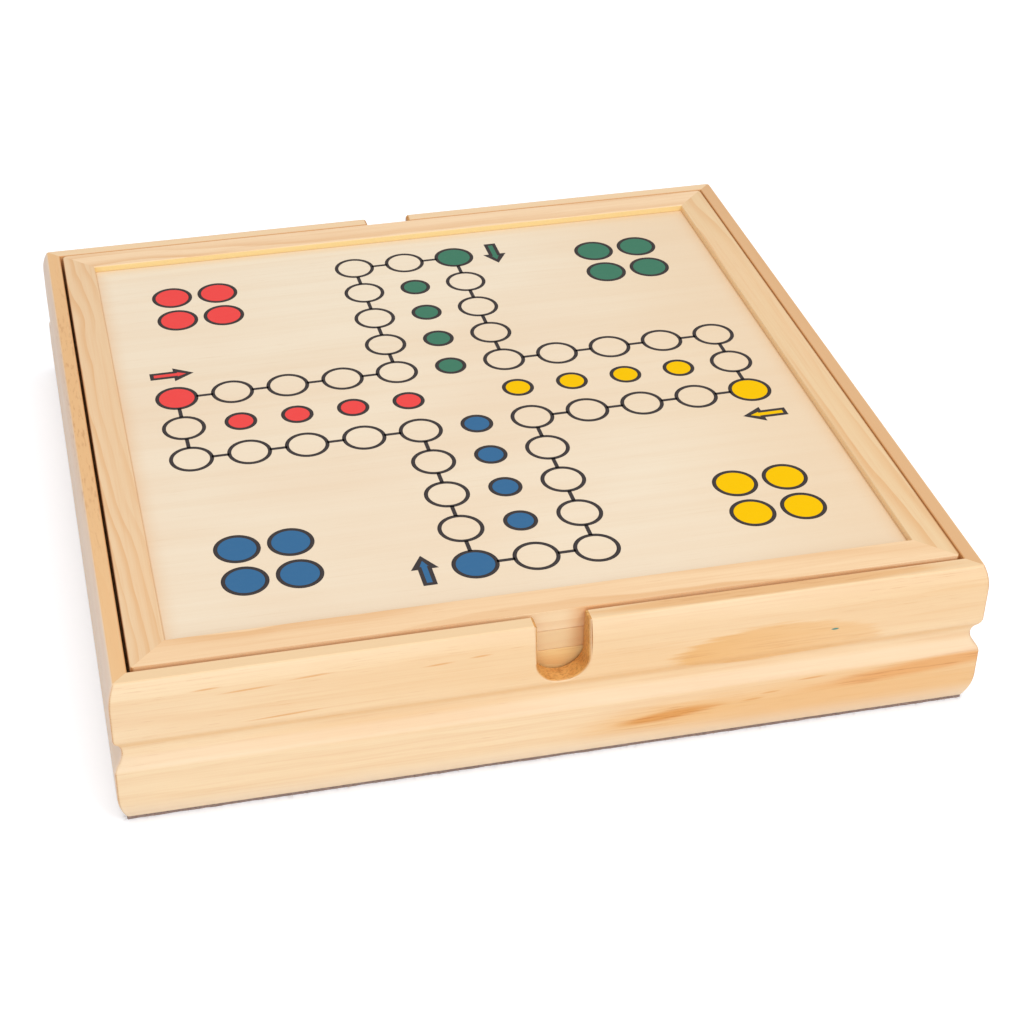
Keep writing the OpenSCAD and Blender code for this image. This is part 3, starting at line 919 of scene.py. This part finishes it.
def notch_seen_finish(tree, colour, axes):
    """The same, lighter behind the notch, and browner to the right where its cheek glows.

    It stands in for light that the photograph's studio bounced into the notch, and fades
    out beside it, because the lifted board shows the whole rail.
    """
    colour = rail_gap_shade(tree, colour, axes)
    along, across, _ = axes
    beside = abs(along).between(*NOTCH_VIEW)
    # Painted light on the rails behind the notch, browner to the right where the cheek's light is
    # painted in
    lit_by_notch = (across < -OPENING_HALF / MM - RAIL_W + NEAR) * (1 - beside)
    colour = tree.blend(lit_by_notch * 0.5, colour, NOTCH_LIT)
    return tree.blend(lit_by_notch * along.between(1, 11) * 0.5, colour, NOTCH_GLOW)


def lit_inner_edge_finish(inner_light):
    """Painted shade on the outer arrises, and painted light that makes the inner edge golden
    where it stands in shade.
    """
    def finish(tree, colour, axes):
        colour = rail_gap_shade(tree, colour, axes)
        inner = (axes[1] < OPENING_HALF / MM + NEAR) * (1 - abs(tree.towards("Z")))
        return tree.blend(inner * 0.9, colour, inner_light)
    return finish


# The gold colours for the back and right rails' inner edges are painted light
rail_woods = {
    "ludo_back": pine("pine_ludo_back", "X", (150, 10), 2.6, 0.012, 0.5, 0.3, 23.0,
                      pale=srgb(252, 219, 178), finish=lit_inner_edge_finish(srgb(255, 228, 160))),
    "ludo_left": pine("pine_ludo_left", "Y", (-190, 20), 3.6, 0.045, 0.55, 0.1, 29.0,
                      pale=srgb(240, 205, 162), finish=rail_gap_shade),
    "ludo_front": pine("pine_ludo_front", "X", (-160, 0), 5.2, 0.015, 0.6, 0.2, 31.0,
                       pale=srgb(250, 215, 171), finish=notch_seen_finish),
    "ludo_right": pine("pine_ludo_right", "Y", (110, 30), 5.2, 0.02, 0.55, 0.2, 37.0,
                       pale=srgb(240, 207, 161), finish=lit_inner_edge_finish(srgb(255, 219, 168))),
    "draughts_back": pine("pine_draughts_back", "X", (130, 0), 4.0, 0.01, 0.5, 0.4, 41.0),
    "draughts_left": pine("pine_draughts_left", "Y", (-130, 0), 4.5, 0.02, 0.5, 0.4, 43.0),
    "draughts_front": pine("pine_draughts_front", "X", (-120, 10), 3.0, 0.01, 0.4, 0.9,
                           47.0, pale=srgb(234, 192, 130), finish=notch_seen_finish),
    "draughts_right": pine("pine_draughts_right", "Y", (170, 0), 5.0, 0.02, 0.5, 0.4, 53.0)}
for board in ("ludo", "draughts"):
    for quarter, side in enumerate(SIDES):
        rail = grown(f"{board}_{side}_frame_rail", MOULDING,
                     outline_mesh("rail section", rail_section()),
                     Length=2 * OPENING_HALF, Corner_Round=BOARD_CORNER_ROUND * MM,
                     Round_From=RAIL_W / 2 * MM, Set_Out=OPENING_HALF,
                     Lift=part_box(f"{board}_{side}_rail")[0].z,
                     Turn=math.radians(90 * quarter), Slide=BOARD_SLIDE,
                     Material=rail_woods[f"{board}_{side}"])
        place_on(board + "_board", smooth(rail), "frame_pine", f"{board}_{side}_rail")
print("eight rails")

# %% [markdown]
# ## Pieces taken over from the frame
#
# The panels, the dividers and the dice already have their true shape in the frame, but as
# loose triangles. A copy is merged into one skin and its flat faces are joined again. The
# bottom's arrises are square there, so they are eased a little too, because an edge that
# catches no light looks like paper.

# %% A merged copy with eased arrises
SAME_PLANE, CREASE = math.radians(0.5), math.radians(30)


def merged_copy(node, name, material, slot, body="box", ease=0):
    """A copy of a CAD node, with its arrises eased by ease millimetres."""
    piece = as_object(name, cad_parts[node].data.copy())
    shape = bmesh.new()
    shape.from_mesh(piece.data)
    bmesh.ops.remove_doubles(shape, verts=shape.verts, dist=2 * WELD)
    bmesh.ops.dissolve_limit(shape, angle_limit=SAME_PLANE, verts=shape.verts,
                             edges=shape.edges)
    if ease:
        arrises = [edge for edge in shape.edges if len(edge.link_faces) == 2
                   and edge.calc_face_angle() > CREASE]
        bmesh.ops.bevel(shape, geom=arrises, offset=ease * MM, segments=3, profile=0.5,
                        affect="EDGES", clamp_overlap=True)
    settle(shape, piece.data)
    piece.data.materials.clear()
    piece.data.materials.append(material)
    return place_on(body, smooth(piece), slot, node)


# %% Panels, compartments and bottom
for board in ("ludo", "draughts"):
    ply = veneer("veneer_" + board, "X", 3.0 if board == "ludo" else 8.0, OPENING_HALF / MM)
    merged_copy(board + "_panel", board + "_plywood", ply, "panel_ply", board + "_board")
merged_copy("bottom_panel", "bottom_plywood", veneer("veneer_bottom", "Y", 13.0),
            "bottom_ply", ease=0.2)
for quarter, side in enumerate(SIDES):
    wood = pine(f"pine_tray_{side}", "Y" if quarter % 2 else "X", (-90 + 7 * quarter, 60),
                3.5, 0.02, 0.4, 0.6, 61.0 + quarter, pale=srgb(250, 214, 150))
    merged_copy(side + "_tray_rail", side + "_compartment_rail", wood, "compartment_pine")
for node, grain in (("front_long_divider", "X"), ("back_long_divider", "X"),
                    ("left_cross_divider", "Y"), ("right_cross_divider", "Y")):
    wood = pine("pine_" + node, grain, (-70, 80), 3.8, 0.02, 0.5, 0.5,
                71.0 + len(node), pale=srgb(238, 204, 148))
    merged_copy(node, node + "_wood", wood, "compartment_pine")

# %% [markdown]
# ## The printed track
#
# The track is the same on every ludo board: a quarter of it, with its start, its way home
# and its four home circles, is repeated four times round the middle in four colours. So
# one tree prints a quarter. Its path is a bent line ten steps long. Rings are set on it at
# every step and short bars between them, and the coloured discs are laid in the rings. A
# block arrow beside the start shows the way. The ink is real geometry a few hundredths of
# a millimetre thick.

# %% Sizes of the print
PITCH = 21.52 * MM
PRINT_PLACE = (0.89 * MM, 0.62 * MM)      # the print sits a little off the board's middle
PRINT_TURN = 0.007                        # and a little turned, in radians
RING_R, SMALL_RING_R = 0.349 * PITCH, 0.252 * PITCH
LINE_W = 1.5 * MM
INK_T = 0.03 * MM
INK_LIFT = 0.3 * INK_T                    # its middle above the veneer
TRACK_STEPS = 10                          # of a quarter's path
ROUND_STEPS = 56                          # corners of a printed circle
HOME_MIDDLE, HOME_STEP = 4.195 * PITCH, 0.875 * PITCH
ARROW_TAIL, ARROW_NECK, ARROW_TIP = 5.35, 4.92, 4.66
ARROW_ROW, ARROW_SHAFT, ARROW_HEAD = 1.812, 0.08, 0.15
print("track", round(11 * PITCH / MM, 1), "mm across")

# %% One quarter of the print
def arrow_outline(grow):
    """The block arrow, in steps of the track, with its edge moved out by grow."""
    lean = math.atan2(ARROW_HEAD, ARROW_NECK - ARROW_TIP)
    tip = ARROW_TIP - grow / math.sin(lean)
    barb = ARROW_HEAD + grow * (1 + 1 / math.cos(lean)) / math.tan(lean) * 0.6
    half = [(ARROW_TAIL + grow, ARROW_SHAFT + grow), (ARROW_NECK + grow, ARROW_SHAFT + grow),
            (ARROW_NECK + grow, barb)]
    points = half + [(tip, 0)] + [(x, -y) for x, y in reversed(half)]
    return [(-x, ARROW_ROW + y) for x, y in points]


def circle(tree, radius, corners=ROUND_STEPS):
    return tree.geo("CurvePrimitiveCircle", "Curve", Resolution=corners, Radius=radius)


def plate(tree, outline, thickness):
    """A closed plate: an outline filled, raised, and closed again below."""
    face = tree.geo("FillCurve", "Mesh", {"mode": "NGONS"}, Curve=as_curve(tree, outline))
    top = tree.geo("ExtrudeMesh", "Mesh", Mesh=face, Offset_Scale=thickness, Individual=False)
    below = tree.geo("FlipFaces", "Mesh", Mesh=face)
    return welded(tree, join(tree, below, top))


def print_tree():
    tree, given = geometry_tree(
        "Printed quarter", Float=("Ring", "Small Ring", "Line", "Thickness", "Turn", "Lift"),
        Object=("Arrow Edge", "Arrow Fill"), Material=("Line Ink", "Fill Ink"))
    line, thick = given["Line"], given["Thickness"]
    section = tree.geo("CurvePrimitiveQuadrilateral", "Curve", Width=line, Height=thick)
    big, small = (swept(tree, circle(tree, given[name]), section)
                  for name in ("Ring", "Small Ring"))
    disc, small_disc = (tree.geo("MeshCylinder", "Mesh", Vertices=ROUND_STEPS,
                                 Radius=given[name], Depth=thick * 0.8)
                        for name in ("Ring", "Small Ring"))

    # Half steps along the path: even ones carry rings, odd ones carry bars. The path is
    # resampled first, because points set between bends would get the bends' directions.
    path = tree.geo("ResampleCurve", "Curve", {"mode": "COUNT"},
                    Count=2 * TRACK_STEPS + 1, Curve=as_curve(tree, given["Geometry"]))
    halves = tree.add("GeometryNodeCurveToPoints", {"mode": "EVALUATED"}, {"Curve": path})
    number = tree.geo("InputIndex", "Index")
    odd = (number / 2).turned_by("FRACT") > 0.25
    last = number > 2 * TRACK_STEPS - 0.5
    steps = chosen(tree, halves["Points"], (odd + last) < 0.5)
    start = chosen(tree, halves["Points"], number < 0.5)
    bars = chosen(tree, halves["Points"], odd)
    along = tree.add("FunctionNodeAlignRotationToVector", {"axis": "X"},
                     {"Vector": halves["Tangent"]})["Rotation"]
    bar = tree.geo("MeshCube", "Mesh",
                   Size=tree.vector(PITCH - 2 * given["Ring"], line, thick))

    run = tree.geo("MeshLine", "Mesh", Count=4, Start_Location=(-4 * PITCH, 0, 0),
                   Offset=(PITCH, 0, 0))
    home = tree.geo("MeshGrid", "Mesh", Size_X=HOME_STEP, Size_Y=HOME_STEP, Vertices_X=2,
                    Vertices_Y=2)
    home = moved(tree, home, Translation=(-HOME_MIDDLE, HOME_MIDDLE, 0))

    edge, fill = (plate(tree, tree.geo("ObjectInfo", "Geometry", Object=given[name]),
                        thick * share)
                  for name, share in (("Arrow Edge", 0.5), ("Arrow Fill", 0.65)))
    lines = join(tree, on_points(tree, steps, big), on_points(tree, home, big),
                 on_points(tree, run, small), on_points(tree, bars, bar, Rotation=along), edge)
    fills = join(tree, on_points(tree, start, disc), on_points(tree, home, disc),
                 on_points(tree, run, small_disc), fill)
    whole = join(tree, made_real(tree, lines, given["Line Ink"]),
                 made_real(tree, fills, given["Fill Ink"]))
    placed = moved(tree, whole, Rotation=tree.vector(0.0, 0.0, given["Turn"]),
                   Translation=tree.vector(*PRINT_PLACE, given["Lift"]))
    tree.add("NodeGroupOutput", {}, {"Geometry": placed})
    return tree.group


# %% Print the four quarters
INKS = {"red": (srgb(242, 78, 76), srgb(240, 92, 88)),
        "green": (srgb(70, 126, 102), srgb(82, 134, 110)),
        "yellow": (srgb(250, 198, 0), srgb(248, 192, 0)),
        "blue": (srgb(60, 110, 154), srgb(70, 116, 156))}
LINE_INK = ink("line ink", srgb(68, 62, 62), srgb(82, 74, 73))
PRINT = print_tree()
PATH = ((-5, 1), (-1, 1), (-1, 5), (1, 5))
track = bpy.data.meshes.new("track")
track.from_pydata([(x * PITCH, y * PITCH, 0) for x, y in PATH],
                  [(0, 1), (1, 2), (2, 3)], [])
half_line = LINE_W / PITCH / 2
arrow_edge, arrow_fill = (
    as_object(name, outline_mesh(name, arrow_outline(grow), PITCH))
    for name, grow in (("arrow_edge", half_line), ("arrow_fill", -half_line)))
for quarter, (colour, (fresh, worn)) in enumerate(INKS.items()):
    printed = grown(colour + "_print", PRINT, track.copy(), Ring=RING_R,
                    Small_Ring=SMALL_RING_R, Line=LINE_W, Thickness=INK_T,
                    Arrow_Edge=arrow_edge, Arrow_Fill=arrow_fill,
                    Turn=math.radians(-90 * quarter) + PRINT_TURN,
                    Lift=panel_high.z + INK_LIFT, Line_Ink=LINE_INK,
                    Fill_Ink=ink(colour + " ink", fresh, worn))
    place_on("ludo_board", printed, colour + "_paint")
    print(printed.name, len(printed.data.polygons), "faces")
for helper in (arrow_edge, arrow_fill):
    bpy.data.objects.remove(helper)

# %% [markdown]
# ## The chequered board
#
# The second board carries the squares for draughts. Sixty-four squares need no table of
# places: a grid of eight by eight points has them, and a point is dark when its row and
# column add up to an odd number. A square tile is set on those points only, and the paler
# squares are simply the bare veneer.

# %% The tree for a chequered print
SQUARES, SQUARE = 8, 28 * MM
BORDER_GAP = 3 * MM                       # bare strip between the squares and the border


def chequer_tree():
    tree, given = geometry_tree("Chequered print", Material=("Material",),
                                Float=("Square", "Line", "Thickness", "Lift"))
    square, line, thick = given["Square"], given["Line"], given["Thickness"]
    span = square * (SQUARES - 1)
    grid = tree.geo("MeshGrid", "Mesh", Size_X=span, Size_Y=span, Vertices_X=SQUARES,
                    Vertices_Y=SQUARES)
    number = tree.geo("InputIndex", "Index")
    column = (number / SQUARES + 0.01).turned_by("FLOOR")
    odd = ((number + column) / 2).turned_by("FRACT") > 0.25
    tile = tree.geo("MeshCube", "Mesh", Size=tree.vector(square, square, thick))
    reach = square * (SQUARES / 2) + BORDER_GAP + line / 2
    corners = tree.geo("MeshCircle", "Mesh", Vertices=4, Radius=reach)
    side = tree.geo("MeshCube", "Mesh", Size=tree.vector(line, reach * 2 + line, thick))
    border = on_points(tree, corners, side,
                       Rotation=tree.vector(0.0, 0.0, number * math.radians(90)))
    whole = join(tree, on_points(tree, chosen(tree, grid, odd), tile), border)
    lifted = moved(tree, whole, Translation=tree.vector(BOARD_SLIDE, 0.0, given["Lift"]))
    return finish_tree(tree, lifted, given["Material"])


# %% Print the chequers
chequers = grown("draughts_print", chequer_tree(), bpy.data.meshes.new("nothing"),
                 Square=SQUARE, Line=1.2 * MM, Thickness=INK_T,
                 Lift=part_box("draughts_panel")[1].z + INK_LIFT,
                 Material=ink("chequer ink", srgb(96, 62, 44), srgb(118, 80, 56)))
place_on("draughts_board", chequers, "dark_men")
print("chequers:", len(chequers.data.polygons), "faces")

# %% [markdown]
# ## The felt under the box
#
# The box stands on a sheet of grey felt glued under it, cut roughly to size. Felt has no
# weave: it is a mat of fibres, so its cut edge wanders, bulges and bristles. The sheet is
# a closed slab whose edge is drawn in and out with smooth noise, a little differently at
# each height. The loose fibres are a piece of their own: a few thousand short, bent hairs
# that Geometry Nodes sets on the edge, each turned at random from a fixed seed.

# %% The sheet of felt
felt_low, felt_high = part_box("felt_base")
FELT_HALF = felt_high.x
FELT_T = felt_high.z - felt_low.z
FELT_STEP = 2.0 * MM
FELT_PROFILE = ((0.0, -0.45), (0.2, -0.1), (0.5, 0.1), (0.8, -0.1), (1.0, -0.4))
RIPPLE, WAVE = 260, 60                    # lumps per metre of the edge's two wanderings


def square_outline(half, step):
    """Points along a square, against the clock, with the outward direction at each."""
    count = round(2 * half / step)
    points = []
    for quarter in range(4):
        turn = Matrix.Rotation(math.radians(90 * quarter), 2)
        for i in range(count):
            outward = turn @ Vector((1, -1 if i == 0 else 0)).normalized()
            points.append((turn @ Vector((half, -half + 2 * half * i / count)), outward))
    return points


def felt_sheet():
    rings = []
    for share, out in FELT_PROFILE:
        ring = []
        for point, outward in square_outline(FELT_HALF, FELT_STEP):
            wander = noise.noise((point.x * RIPPLE, point.y * RIPPLE, share * 2.5))
            wander += 0.5 * noise.noise((point.x * WAVE, point.y * WAVE, 9))
            place = point + outward * (out + wander * 0.3) * MM
            ring.append((place.x, place.y, felt_low.z + share * FELT_T))
        rings.append(ring)
    mesh = loft("felt_sheet", rings)
    mesh.materials.append(felt("felt", srgb(132, 108, 102), srgb(194, 168, 156)))
    return place_on("box", smooth(as_object("felt_sheet", mesh)), "felt", "felt_base")


sheet = felt_sheet()
print("felt", round(2 * FELT_HALF / MM, 1), "mm square and", round(FELT_T / MM, 1), "mm thick")

# %% Loose fibres on its edge
def fuzz_tree():
    tree, given = geometry_tree("Felt fuzz", Int=("Fibres", "Seed"), Material=("Material",),
                                Float=("Length", "Radius", "Height"))

    def random_value(low, high, kind, slots, extra):
        low_slot, high_slot, result = slots
        return tree.add("FunctionNodeRandomValue", {"data_type": kind}, {
            low_slot: low, high_slot: high, 8: given["Seed"] + extra})[result]

    def random_vector(low, high, extra):
        return random_value(low, high, "FLOAT_VECTOR", (0, 1, 0), extra)

    roots = tree.add("GeometryNodeCurveToPoints", {"mode": "COUNT"}, {
        "Curve": as_curve(tree, given["Geometry"]), "Count": given["Fibres"]})
    outward = tree.add("ShaderNodeVectorMath", {"operation": "CROSS_PRODUCT"},
                       {0: roots["Tangent"], 1: (0, 0, 1)})["Vector"]
    lift = tree.add("ShaderNodeVectorMath", {"operation": "MULTIPLY"}, {
        0: random_vector((0, 0, 0.4), (0, 0, 0.95), 0),
        1: tree.vector(0.0, 0.0, given["Height"])})["Vector"]
    spread = tree.geo("SetPosition", "Geometry", Geometry=roots["Points"], Offset=lift)
    hair = tree.geo("CurveQuadraticBezier", "Curve", Resolution=4, Start=(0, 0, 0),
                    Middle=(0.5, 0.1, 0.2), End=(1, -0.1, -0.15))
    hair = moved(tree, hair, Scale=tree.vector(*[given["Length"]] * 3))
    hair = swept(tree, hair, circle(tree, given["Radius"], 3), Fill_Caps=True)
    aim = tree.add("FunctionNodeAlignRotationToVector", {"axis": "X"},
                   {"Vector": outward})["Rotation"]
    hairs = tree.geo("RotateInstances", "Instances",
                     Instances=on_points(tree, spread, hair, Rotation=aim),
                     Rotation=random_vector((-0.6, -0.3, -1.2), (0.6, 0.1, 1.2), 1))
    size = random_value(0.35, 1.0, "FLOAT", (2, 3, 1), 2)
    hairs = tree.geo("ScaleInstances", "Instances", Instances=hairs,
                     Scale=tree.vector(size, size, size))
    return finish_tree(tree, hairs, given["Material"])


felt_edge = [(point.x / MM, point.y / MM)
             for point, outward in square_outline(FELT_HALF - 0.2 * MM, FELT_STEP)]
fuzz = grown("felt_fuzz", fuzz_tree(), outline_mesh("felt edge", felt_edge), Fibres=3600,
             Length=2.1 * MM, Radius=0.055 * MM, Height=FELT_T, Seed=4,
             Material=felt("felt_fibres", srgb(186, 158, 138), srgb(230, 208, 188)))
place_on("box", fuzz, "felt")
print("fuzz:", len(fuzz.data.polygons), "faces, lowest point",
      round(min(v.co.z for v in fuzz.data.vertices) / MM, 2), "mm above the floor")

# %% [markdown]
# ## Turned pieces
#
# Pawns and draughtsmen come off a lathe. So does this tree: it sweeps half an outline
# round a circle, sews up the poles, and sets the result on a short upright row of points.
# A row of one is a pawn and a row of four is a stack of draughtsmen.

# %% A lathe
LATHE_R = 30.0                            # radius of the circle that is swept round, in mm


def lathe_tree():
    tree, given = geometry_tree("Lathe", Int=("Segments", "Count"), Material=("Material",),
                                Float=("Step", "X", "Y", "Z"))
    skin = swept(tree, circle(tree, LATHE_R * MM, given["Segments"]),
                 as_curve(tree, given["Geometry"]))
    row = tree.geo("MeshLine", "Mesh", Count=given["Count"],
                   Start_Location=tree.vector(given["X"], given["Y"], given["Z"]),
                   Offset=tree.vector(0.0, 0.0, given["Step"]))
    stack = on_points(tree, row, welded(tree, skin, 4 * WELD))
    return finish_tree(tree, stack, given["Material"])


LATHE = lathe_tree()


def turned(name, outline, node, material, slot, count=1, step=0.0, segments=48):
    """A turned piece from half its outline, in millimetres, standing where a node stands."""
    low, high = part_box(node)
    mesh = bpy.data.meshes.new(name + " outline")
    mesh.from_pydata([((r - LATHE_R) * MM, -z * MM, 0) for r, z in outline],
                     [(i, i + 1) for i in range(len(outline) - 1)], [])
    piece = grown(name, LATHE, mesh, Segments=segments, Count=count, Step=step,
                  X=(low.x + high.x) / 2, Y=(low.y + high.y) / 2, Z=low.z, Material=material)
    shape = bmesh.new()
    shape.from_mesh(piece.data)
    settle(shape, piece.data)
    return place_on("box", smooth(piece), slot, node)


# %% The pawns
PAWN_NECK_R, PAWN_HEAD_R, PAWN_FOOT_T = 2.4, 4.5, 2.6
PAWN_BEVEL, PAWN_WAIST_R, WAIST_STEPS = 0.6, 60.0, 12
PAWN_PAINTS = {"red": (srgb(222, 52, 52), srgb(232, 84, 76)),
               "green": (srgb(38, 108, 74), srgb(62, 128, 92)),
               "yellow": (srgb(248, 196, 6), srgb(250, 208, 50)),
               "blue": (srgb(34, 86, 142), srgb(60, 108, 158))}


def pawn_outline():
    """Half the outline of a pawn: a flat foot, a hollow body and a round head."""
    low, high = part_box("red_pawn_1")
    base_r, tall = (high.x - low.x) / 2 / MM, (high.z - low.z) / MM
    head_z = tall - PAWN_HEAD_R
    neck = (PAWN_NECK_R, head_z - math.sqrt(PAWN_HEAD_R ** 2 - PAWN_NECK_R ** 2))
    skirt = (base_r - 2 * PAWN_BEVEL, PAWN_FOOT_T)
    lean = math.radians(bearing(skirt, neck))
    half_chord = math.dist(skirt, neck) / 2
    away = math.sqrt(PAWN_WAIST_R ** 2 - half_chord ** 2)
    waist = ((skirt[0] + neck[0]) / 2 + away * math.sin(lean),
             (skirt[1] + neck[1]) / 2 - away * math.cos(lean))
    bow = math.degrees(math.asin(half_chord / PAWN_WAIST_R))
    turns = [math.radians(math.degrees(lean) + 90 + bow - 2 * bow * i / WAIST_STEPS)
             for i in range(WAIST_STEPS + 1)]
    body = [(waist[0] + PAWN_WAIST_R * math.cos(turn), waist[1] + PAWN_WAIST_R * math.sin(turn))
            for turn in turns]
    return ([(0, 0)] + arc((base_r - PAWN_BEVEL, PAWN_BEVEL), PAWN_BEVEL, 270, 360)
            + arc((base_r - PAWN_BEVEL, PAWN_FOOT_T - PAWN_BEVEL), PAWN_BEVEL, 0, 90)
            + body + arc((0, head_z), PAWN_HEAD_R, bearing((0, head_z), neck), 90)[1:])


for colour, (thick, thin) in PAWN_PAINTS.items():
    gloss = paint(colour + " paint", thick, thin)
    for number in range(1, 5):
        pawn = turned(f"{colour}_turned_pawn_{number}", pawn_outline(),
                      f"{colour}_pawn_{number}", gloss, colour + "_paint")
print("sixteen pawns of", len(pawn.data.polygons), "faces")

# %% The draughtsmen
MEN_IN_STACK, MAN_AIR = 4, 0.05
MAN_BEVEL, MAN_GROOVE_R = 0.7, 0.9


def man_outline(thick, wide):
    """Half the outline of a draughtsman, with a turned groove on both faces."""
    r, groove = wide / 2, wide / 3
    lower = [(0, 0)] + arc((groove, 0), MAN_GROOVE_R, 180, 0)
    upper = arc((groove, thick), MAN_GROOVE_R, 360, 180) + [(0, thick)]
    return (lower + arc((r - MAN_BEVEL, MAN_BEVEL), MAN_BEVEL, 270, 360)
            + arc((r - MAN_BEVEL, thick - MAN_BEVEL), MAN_BEVEL, 0, 90) + upper)


for shade, dye in (("light", None), ("dark", srgb(112, 70, 48))):
    for number in range(1, 4):
        node = f"{shade}_men_stack_{number}"
        low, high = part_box(node)
        thick = ((high.z - low.z) / MM - (MEN_IN_STACK - 1) * MAN_AIR) / MEN_IN_STACK
        beech = pine(f"beech_{shade}_{number}", "X", (40 * number, 90), 2.0, 0.05, 0.3, 0.5,
                     90.0 + number, pale=srgb(240, 212, 168), stain=dye)
        stack = turned(f"{shade}_draughtsmen_{number}", man_outline(thick, (high.x - low.x) / MM),
                       node, beech, shade + "_men", MEN_IN_STACK, (thick + MAN_AIR) * MM, 64)
print("six stacks of", len(stack.data.polygons), "faces")

# %% [markdown]
# ## The dice
#
# A die keeps the shape that the frame gives it, a cube rounded by a ball, with a hollow
# for each pip. What is left is its finish: pale waxed wood, and black paint in the hollows.
# The hollows are found by measuring: a face that lies inside both the cube and the ball
# can only belong to a pip.

# %% Paint the pips
PIP_BLACK = paint("pip black", srgb(28, 26, 28), srgb(44, 40, 42))
PLACED = {1: (20, 0), 2: (-35, 90)}       # turn on the floor, and roll before it, in degrees
DIE_HALF, BALL_R = 8.0, 11.36
CUBE_SKIN, BALL_SKIN = 0.03, 0.15         # how deep a face lies at least to be a pip's
for number, (turn, roll) in PLACED.items():
    node = f"die_{number}"
    wood = pine(node + "_wood", "Y", (30, 70), 1.6, 0.05, 0.25, 0.2, 120.0 + number,
                pale=srgb(244, 224, 186))
    die = merged_copy(node, node + "_cube", wood, "dice_wood")
    die.data.materials.append(PIP_BLACK)
    low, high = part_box(node)
    middle = (low + high) / 2
    back = (Matrix.Rotation(math.radians(turn), 3, "Z")
            @ Matrix.Rotation(math.radians(roll), 3, "X")).inverted()
    pips = 0
    for face in die.data.polygons:
        place = back @ (face.center - middle) / MM
        in_cube = max(abs(part) for part in place) < DIE_HALF - CUBE_SKIN
        if in_cube and place.length < BALL_R - BALL_SKIN:
            face.material_index = 1
            pips += 1
    print(die.name, "has", len(die.data.polygons), "faces,", pips, "of them in pips")

# %% [markdown]
# ## The floor and the light
#
# The photograph was taken on white paper, so strongly lit that the paper is pure white and
# hardly a shadow is left. A white world gives most of that light. A large soft lamp hangs
# over the box for the boards, a second one stands at the front right for the modelling of
# the walls, and a low one in front fills the moulding. Such paper is lit by lamps of its
# own. Here it glows instead, but only to the eye, so that it throws no extra light. It is
# left out under the box, so that the felt can be looked at from below.

# %% The floor
FLOOR_HALF = 30.0
UNDER_HALF = FELT_HALF - 2 * MM
FLOOR_GLOW = 0.36
floor_material, floor_tree = new_material("studio floor", Roughness=0.9, Base_Color=srgb(
    238, 240, 245), Emission_Strength=FLOOR_GLOW)
seen = floor_tree.add("ShaderNodeLightPath")["Is Camera Ray"]
drive(floor_tree, Emission_Color=seen)
floor_mesh = bpy.data.meshes.new("floor")
floor_mesh.from_pydata([(x * half, y * half, 0) for half in (FLOOR_HALF, UNDER_HALF)
                        for x, y in ((-1, -1), (1, -1), (1, 1), (-1, 1))], [],
                       [(i, (i + 1) % 4, 4 + (i + 1) % 4, 4 + i) for i in range(4)])
floor = as_object("floor", floor_mesh)
floor_mesh.materials.append(floor_material)

# %% The light
WORLD_STRENGTH = 0.56
world = bpy.data.worlds.new("studio")
bpy.context.scene.world = world
world.use_nodes = True
background = world.node_tree.nodes["Background"]
background.inputs["Color"].default_value = (1, 1, 1, 1)
background.inputs["Strength"].default_value = WORLD_STRENGTH
BOX_MIDDLE = (0, 0, 0.03)


def soft_box(name, place, size, power):
    """A rectangular lamp that looks at the middle of the box: metres and watts."""
    light = bpy.data.lights.new(name, "AREA")
    light.shape = "RECTANGLE"
    light.size, light.size_y = size
    light.energy = power
    lamp = as_object(name, light)
    lamp.location = place
    aim = Vector(BOX_MIDDLE) - Vector(place)
    lamp.rotation_euler = aim.to_track_quat("-Z", "Y").to_euler()


soft_box("overhead", (0.1, 0.2, 2.0), (1.0, 1.0), 10)
soft_box("key", (0.7, -1.2, 1.5), (0.7, 0.7), 9)
soft_box("front fill", (-0.3, -1.9, 0.8), (1.6, 1.0), 7.5)
bpy.context.scene.view_settings.view_transform = "Standard"
